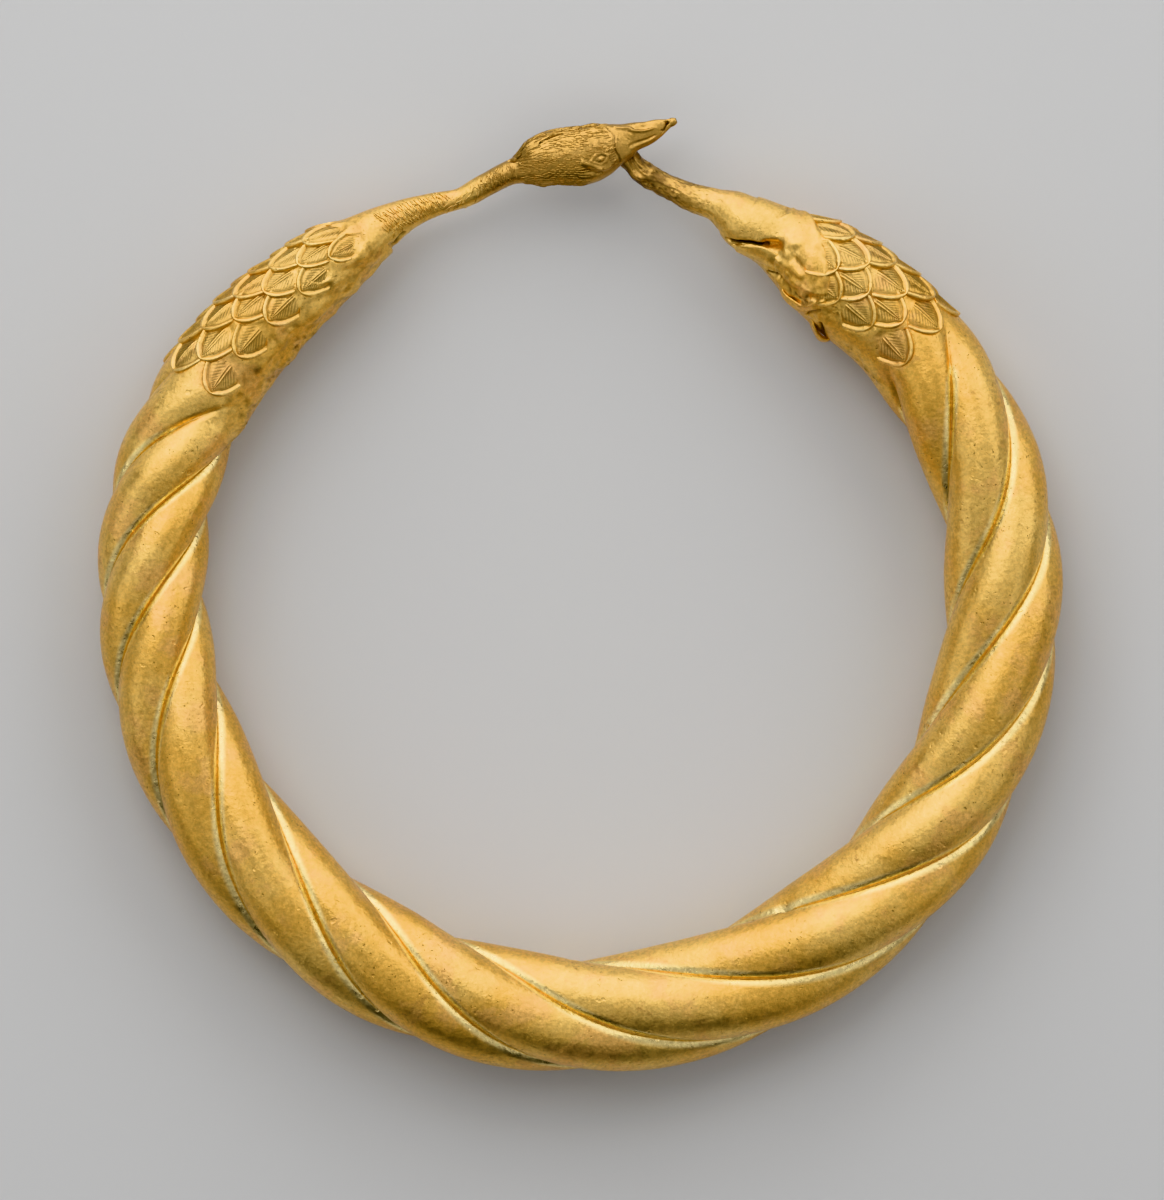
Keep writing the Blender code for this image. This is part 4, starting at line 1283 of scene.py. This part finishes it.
def flap_mesh(mesh, rows):
    """Adds a flap of sheet to a mesh: an upper face, a lower face and a round edge between."""
    places = spread_out(spread_out(np.array(rows, float), 0), 1)
    middle = places[len(places) // 2, 0, 0]
    scale = np.array([np.radians(curve_through(ANGLES, RADII, middle)), np.radians(girth_at(middle)), 1.0])
    upper = places * scale
    normal = np.cross(np.gradient(upper, axis=0), np.gradient(upper, axis=1))
    normal *= np.sign(normal[..., 2:]) / np.linalg.norm(normal, axis=-1, keepdims=True)
    lower = upper - normal * FLAP_SHEET
    edge_way = upper[:, -1] - upper[:, -2]
    edge_way /= np.linalg.norm(edge_way, axis=-1, keepdims=True)
    edge = (upper[:, -1] + lower[:, -1]) / 2 + edge_way * FLAP_SHEET / 2
    loops = np.concatenate([upper, edge[:, None], lower[:, ::-1]], axis=1) / scale * (ALONG, ROUND, 1.0)
    verts = [[mesh.verts.new(point) for point in loop] for loop in loops]
    around = len(verts[0])
    for line, following in zip(verts, verts[1:]):
        for place in range(around):
            beside = (place + 1) % around
            mesh.faces.new((line[place], line[beside], following[beside], following[place]))
    mesh.faces.new(verts[0])
    mesh.faces.new(verts[-1])


def make_sheet_tree():
    tree, given, result = new_tree("rolled_sheet", (
        ("Geometry", "Geometry", None), ("Centre Line", "Object", None), ("Material", "Material", None)))
    close_tree(tree, rolled_up(tree, given["Geometry"], given["Centre Line"]), given["Material"], result)
    return tree


drawn = bmesh.new()
for rows in (TORN_LIP, UPPER_CURL, LOWER_CURL, LEFT_TAB):
    flap_mesh(drawn, rows)
flap_base = bpy.data.meshes.new("flaps_drawn")
bmesh.ops.recalc_face_normals(drawn, faces=drawn.faces)
drawn.to_mesh(flap_base)
drawn.free()
flaps = run_tree("torn_sheet", make_sheet_tree(), flap_base)
print("torn sheet with", len(flaps.data.polygons), "faces")

# %% [markdown]
# The rest has its own small marks. The hoop has a few dents inside, the shoulders have rough
# inner seams, the left neck is thicker before the head, and the right one is worn and dirty.
# Noise makes the rough parts, and soft slopes along the ring keep them to their places.

# %% Dents and the rough inner seams
# Two of the dents are darkened with painted shade and dirt.
swell(-0.5, 0.9, 0.7, 147.0, 150, shade_and_soil=0.5)
swell(0.25, 0.5, 0.4, 148.4, 143)
swell(-0.45, 0.25, 0.5, 181.6, 172, shade_and_soil=0.6)
swell(-0.3, 0.5, 0.6, 112.5, 176)
SEAM_TURN = 158.0
SEAM_WIDTH = 1.3
SEAM_PLACES = ((291.0, 318.0), (44.0, 56.0))
SEAM_FADE = 3               # degrees from each end of a seam to its full roughness
off_seam = np.radians((skin_turn - SEAM_TURN + 180) % 360 - 180) * girth_at(skin_ring)
crumple = noise_round(1.9, 9.0, 3.0)
for start, stop in SEAM_PLACES:
    strength = (smooth_step(start, start + SEAM_FADE, skin_ring)
                * smooth_step(stop, stop - SEAM_FADE, skin_ring))
    near = strength * np.exp(-(off_seam / SEAM_WIDTH) ** 2)
    shift += 0.3 * near * crumple
    dirt_and_painted_light = np.maximum(dirt_and_painted_light, near * np.clip(crumple * 1.6 - 0.3, 0, 0.7))
print("rough seams at turn", SEAM_TURN)


# %% The two necks
def neck_swell(ring_angle):
    """How much thicker the left neck is just before the head, in millimetres."""
    return 0.18 * smooth_step(342.5, 345.5, ring_angle) * smooth_step(352.0, 350.0, ring_angle)


shift += neck_swell(skin_ring)
# The broken end is ragged and a little wider, and the neck behind it worn.
stump_end = smooth_step(13.0, 6.4, skin_ring)
shift += 0.3 * stump_end * noise_round(1.1, 2.4, 8.0) + 0.2 * smooth_step(11.0, 7.5, skin_ring)
worn_neck = smooth_step(25, 12, skin_ring)
shift += 0.12 * worn_neck * noise_round(2.0, 4.4, 33.0)
# Soil lies on it in blots, then in specks, then thinly all over. The open end is painted black, as painted
# shade.
soil = noise_round(0.8, 1.5, 25.0)
dirt_and_painted_light = np.maximum(dirt_and_painted_light, smooth_step(20, 7, skin_ring) * np.clip(soil * 4.0 + 0.1, 0, 0.8))
dirt_and_painted_light = np.maximum(dirt_and_painted_light, worn_neck * np.clip(noise_round(3.0, 6.6, 91.0) * 4.0 - 0.7, 0, 0.7))
dirt_and_painted_light = np.maximum(dirt_and_painted_light, 0.08 * smooth_step(33, 26, skin_ring))
dirt_and_painted_light = np.maximum(dirt_and_painted_light, skin_ring < STUMP_SECTIONS[0][0] + 0.05)
print("soil on", int(np.sum((dirt_and_painted_light > 0.3) & (skin_ring < 25))), "vertices of the broken neck")

# %% Press it all into the skin
out = values_of(skin.data, "out", vector=True)
put_points(skin.data, points_of(skin.data) + out * shift[:, None] * MM)
store(skin.data, "recess", "FLOAT", dirt_and_painted_light)
print("skin moved by", round(float(shift.min()), 2), "to", round(float(shift.max()), 2), "mm")

# %% [markdown]
# ## Fine strokes
# The plumage of the head is chased in short strokes that bend round the eye. The neck has ribs
# side by side near the shoulder and slanted hatches up to the head, and one feather a roped rim.
# A thousand strokes are too many to draw by hand. Each is a copy of one small ridge, the plan is
# written by loops with a little chance in it, and the tree of the feathers lays the copies.

# %% One stroke
# Steps across the ridge: place, height and darkening.
# Its feet are darkened, painted shade and dirt, and its top is paler, a painted highlight.
STROKE_PROFILE = ((-0.5, -0.9, 1.0), (-0.3, 0.3, 0.4), (0.0, 1.0, -0.7), (0.3, 0.3, 0.4), (0.5, -0.9, 1.0))
STROKE_SECTIONS = 5
STROKE_POINT = 0.12         # width of its ends, as a share of its middle


def stroke_object():
    """A ridge of length, width and height 1, pointed at both ends."""
    mesh = bmesh.new()
    dirt_and_painted_light_layer = mesh.verts.layers.float.new("recess")
    net_verts = []
    for step in np.linspace(-1.0, 1.0, STROKE_SECTIONS):
        width = max(STROKE_POINT, (1 - step ** 2) ** 0.5)
        line = []
        for across, height, dirt_and_painted_light_here in STROKE_PROFILE:
            vert = mesh.verts.new((step / 2, across * width, height * width if height > 0 else height))
            vert[dirt_and_painted_light_layer] = dirt_and_painted_light_here
            line.append(vert)
        net_verts.append(line)
    for line, following in zip(net_verts, net_verts[1:]):
        for place in range(len(line) - 1):
            mesh.faces.new((line[place], line[place + 1], following[place + 1], following[place]))
    return finished_stamp("stroke", mesh)


stroke = stroke_object()
print("one stroke has", len(stroke.data.polygons), "faces")

# %% The stroke plan
STROKE_HEIGHT = 0.12
PLUME_LENGTH = 0.95
PLUME_WIDTH = 0.19
PLUME_PITCH = 0.25          # from row to row round the head
PLUME_STEP = 0.8            # degrees of ring angle from stroke to stroke
PLUME_ANGLES = (351.9, 364.0)
HEAD_GIRTH = 2.9            # mean radius of the head
CHEEK_TURNS = (48, 152)     # the cheek that faces up, where nearly all strokes are kept
CHEEK_KEPT = 0.9
REST_KEPT = 0.55
EYE_PLACE = (362.1, 110)
EYE_CLEAR = 0.58
# Lines over the head that the strokes leave free, as ring angles and turn angles.
BAND = ((355.0, 356.0, 358.0, 360.0, 362.0), (118, 112, 96, 84, 74))
BAND_CLEAR = 4.5
CRACK = ((354.6, 358.6), (49, 35))
CRACK_CLEAR = 3.5
HATCH_LENGTH = 1.3
HATCH_WIDTH = 0.24
RIB_WIDTH = 1.2 * HATCH_WIDTH
RIB_HEIGHT = 0.24
ROPE_STROKES = 22
ROPE_STROKE = (2.0, 0.55, 0.2, 0.13)    # heading, length, width and height
ROPE_INSET = (0.28, 0.2)                # its middle lies this far inside the outline
STROKE_SWAY = 0.06
STROKE_SPREAD = 0.1
STROKE_SEED = 23
CHANCE_SEED = 11
rng = np.random.default_rng(CHANCE_SEED)
strokes = []                # sheet place, heading on the sheet and size


def add_stroke(ring_angle, turn, slant, length, width, height=STROKE_HEIGHT):
    """Adds a stroke of real size. The sheet shrinks as it is rolled, so its size is stretched."""
    stretch = np.array([HOOP_RADIUS / curve_through(ANGLES, RADII, ring_angle),
                        TUBE_RADIUS / girth_at(ring_angle)])
    way = np.array([np.cos(slant), np.sin(slant)]) * stretch
    longer = np.hypot(*way)
    strokes.append((ring_angle * ALONG, turn * ROUND, np.arctan2(way[1], way[0]), length * longer,
                    width * stretch[0] * stretch[1] / longer, height))


def plumage():
    """Rows of strokes along the head, bent round the eyes."""
    low, high = CHEEK_TURNS
    for row, turn in enumerate(np.arange(0.0, 360.0, np.degrees(PLUME_PITCH / HEAD_GIRTH))):
        kept = CHEEK_KEPT if low < turn < high or 360 - high < turn < 360 - low else REST_KEPT
        start = PLUME_ANGLES[0] + PLUME_STEP / 2 * (row % 2)
        for ring_angle in np.arange(start, PLUME_ANGLES[1], PLUME_STEP):
            here = ring_angle + rng.normal(0, 0.1)
            at = turn + rng.normal(0, 0.9)
            if rng.random() > kept:
                continue
            # The far cheek mirrors the one that faces up.
            facing = 1 if at < 180 else -1
            mirrored = at if facing > 0 else 360 - at
            eye_turn = EYE_PLACE[1] if facing > 0 else 360 - EYE_PLACE[1]
            along, around = lay_flat(here, at, (EYE_PLACE[0], eye_turn))
            from_eye = np.hypot(along, around)
            if abs(mirrored - np.interp(here, *BAND)) < BAND_CLEAR:
                continue
            if abs(at - np.interp(here, *CRACK)) < CRACK_CLEAR and here < 359:
                continue
            if from_eye < EYE_CLEAR or (here > 360.2 and around * facing > 0.1):
                continue
            swirl = 0.5 * np.exp(-from_eye / 1.6) * np.sign(along) * np.sign(around)
            slant = swirl + rng.normal(0.12, 0.1) * facing
            length = PLUME_LENGTH * rng.uniform(0.7, 1.15)
            add_stroke(here, at, slant, length, PLUME_WIDTH * rng.uniform(0.8, 1.2))


def hatches(start, stop, low_turn, high_turn, count, slant):
    """Slanted tool marks scattered over a stretch of the neck."""
    for _ in range(count):
        ring_angle = rng.uniform(start, stop)
        add_stroke(ring_angle, rng.uniform(low_turn, high_turn), slant + rng.normal(0, 0.16),
                   HATCH_LENGTH * rng.uniform(0.5, 1.1), HATCH_WIDTH * rng.uniform(0.6, 1.1))


def ribs(start, stop, turn, count, slant):
    """Tool marks side by side along the neck, as if it were bound with a cord."""
    for ring_angle in np.linspace(start, stop, count):
        add_stroke(ring_angle + rng.normal(0, 0.04), turn + rng.normal(0, 4.0), slant + rng.normal(0, 0.06),
                   HATCH_LENGTH * rng.uniform(0.8, 1.3), RIB_WIDTH, RIB_HEIGHT)


def roped_rim(tip, turn):
    """Short strokes across one side of a feather's rim."""
    for share in np.linspace(0.02, ARC_SHARE, ROPE_STROKES):
        along, across = feather_edge(np.array(share))
        ring_angle = tip - (float(along) + ROPE_INSET[0]) / ALONG
        strokes.append((ring_angle * ALONG, turn * ROUND + float(across) - ROPE_INSET[1], *ROPE_STROKE))


# Ribs: stretch of ring angle, turn angle, count and slant. Hatches have a range of turn angles.
plumage()
ribs(331.6, 341.4, 62, 27, 1.2)
ribs(331.8, 340.6, 92, 25, 1.3)
ribs(332.5, 338.0, 118, 13, 1.05)
hatches(332.0, 340.6, 30, 125, 30, 1.25)
hatches(332.0, 340.0, 95, 130, 30, -1.0)
hatches(345.0, 351.0, 50, 130, 60, -1.15)
hatches(345.5, 350.5, 60, 120, 25, 1.1)
hatches(340.5, 345.0, 70, 150, 14, -0.6)
hatches(330.5, 350.0, 200, 330, 90, 1.2)
roped_rim(54.6, 109.0)
strokes = np.array(strokes)
stroke_level = neck_swell(strokes[:, 0] / ALONG)
plan = plan_mesh("stroke_plan", np.stack([strokes[:, 0], strokes[:, 1], stroke_level], -1), strokes[:, 2],
                 strokes[:, 3:])
marks = run_tree("chased_strokes", stamp_tree, plan, stamp=stroke, sway=STROKE_SWAY,
                 size_spread=STROKE_SPREAD, seed=STROKE_SEED)
print(len(strokes), "strokes with", len(marks.data.polygons), "faces")

# %% [markdown]
# ## Settle the pieces on the floor
# The solid stands with the middle of its outline over the origin. The pieces are moved together
# in the same way, in their meshes, so that each object stays at the origin. What would reach
# below the floor is worn flat, as on the real crests.

# %% Settle
FLOOR_GAP = 0.005
skin_points = points_of(skin.data)
middle = (skin_points.min(axis=0) + skin_points.max(axis=0)) / 2
middle[2] = 0.0


def settle(piece):
    points = points_of(piece.data) - middle
    points[:, 2] = np.maximum(points[:, 2], FLOOR_GAP * MM)
    put_points(piece.data, points)
    # A sheet that is rolled up can turn inside out, and then its volume counts as negative.
    mesh = bmesh.new()
    mesh.from_mesh(piece.data)
    if mesh.calc_volume(signed=True) < 0:
        bmesh.ops.reverse_faces(mesh, faces=mesh.faces)
        mesh.to_mesh(piece.data)
    print(piece.name, "holds", round(mesh.calc_volume(signed=True) / MM ** 3, 1), "cubic mm")
    mesh.free()
    piece.data.polygons.foreach_set("use_smooth", [True] * len(piece.data.polygons))


for piece in (skin, feathers, flaps, marks):
    settle(piece)

# %% Distance from the solid
MEASURED = 37               # one vertex in so many is measured
solid = frame["nodes"]["armlet"]
tree = BVHTree.FromObject(solid, bpy.context.evaluated_depsgraph_get())
gaps = [tree.find_nearest(Vector(point))[3] / MM for point in points_of(skin.data)[::MEASURED]]
print("the skin is", round(float(np.mean(gaps)), 3), "mm from the solid on average")
print("and at most", round(max(gaps), 2), "mm")

# %% [markdown]
# ## Bind the pieces to the frame
# The armlet is rigid, so all four pieces ride on its one body. Together they take the place of
# the plain solid. The helpers that carried the plans are done with and are removed.

# %% Ride and replace
for helper in (centre_line, net, feather, stroke):
    bpy.data.objects.remove(helper)
for piece in (skin, feathers, flaps, marks):
    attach(piece, "root")
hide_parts("armlet")
print("four pieces ride on the armlet's body")

# %% [markdown]
# ## Floor, light and camera
# The armlet lies on pale grey paper, seen from straight above. Gold shows what it mirrors more
# than its own colour, so the light is a dome of round soft lamps, each as bright as the flanks of
# the flutes that face it are in the picture. It is strongest from the far side, both low down and
# high up, and from the upper right, and weak from the near side, which stays in shade.

# %% Floor
FLOOR_SIZE = 4.0            # in metres
PAPER_GREY = (0.6, 0.6, 0.6, 1.0)
bpy.ops.mesh.primitive_plane_add(size=FLOOR_SIZE, location=(0, 0, 0))
floor = bpy.context.object
floor.name = "paper"
paper = bpy.data.materials.new("paper")
paper.use_nodes = True
paper_shader = paper.node_tree.nodes["Principled BSDF"]
paper_shader.inputs["Base Color"].default_value = PAPER_GREY
paper_shader.inputs["Roughness"].default_value = 0.9
floor.data.materials.append(paper)


# %% Lamps
LAMP_DISTANCE = 1.0         # in metres, as is the size
LAMP_SIZE = 0.85
# Azimuth clockwise from +Y, elevation and watts of each lamp.
LAMPS = (
    (0, 12, 2.9), (330, 12, 1.55), (30, 32, 1.7), (60, 32, 1.7), (100, 32, 0.5), (125, 32, 0.7),
    (240, 32, 0.7), (270, 32, 1.0), (330, 32, 0.8), (210, 52, 0.45), (330, 52, 2.8), (0, 72, 0.65),
    (120, 72, 0.5), (180, 72, 0.35),
)


def soft_lamp(name, azimuth, elevation, power):
    """A round soft lamp on the dome round the armlet, facing its middle."""
    light = bpy.data.lights.new(name, "AREA")
    light.shape = "DISK"
    light.size = LAMP_SIZE
    light.energy = power
    lamp = bpy.data.objects.new(name, light)
    level = LAMP_DISTANCE * np.cos(elevation)
    lamp.location = (level * np.sin(azimuth), level * np.cos(azimuth), LAMP_DISTANCE * np.sin(elevation))
    lamp.rotation_euler = (-lamp.location).to_track_quat("-Z", "Y").to_euler()
    bpy.context.scene.collection.objects.link(lamp)


for azimuth, elevation, watts in LAMPS:
    name = "lamp_" + str(azimuth) + "_" + str(elevation)
    soft_lamp(name, np.radians(azimuth), np.radians(elevation), watts)
world = bpy.data.worlds.new("studio")
bpy.context.scene.world = world
world.use_nodes = True
world.node_tree.nodes["Background"].inputs["Color"].default_value = (0.0, 0.0, 0.0, 1.0)
view = bpy.context.scene.view_settings
view.view_transform = "Khronos PBR Neutral"
view.exposure = 0.3
print(len(LAMPS), "lamps of", round(sum(lamp[2] for lamp in LAMPS), 1), "watts in all")

# %% Camera
PICTURE_HEIGHT = 132.0      # millimetres across the photo's height, at the armlet's middle
CAMERA_DISTANCE = 1000.0
LOOKING_AT = (0.22, -0.605, 6.5)
SENSOR_HEIGHT = 24.0
camera = bpy.data.cameras.new("camera")
camera.sensor_fit = "VERTICAL"
camera.sensor_height = SENSOR_HEIGHT
camera.lens = SENSOR_HEIGHT * CAMERA_DISTANCE / PICTURE_HEIGHT
camera.clip_start = 0.05
viewer = bpy.data.objects.new("camera", camera)
viewer.location = (LOOKING_AT[0] * MM, LOOKING_AT[1] * MM, (LOOKING_AT[2] + CAMERA_DISTANCE) * MM)
bpy.context.scene.collection.objects.link(viewer)
bpy.context.scene.camera = viewer
print("camera with a lens of", round(camera.lens, 1), "mm")
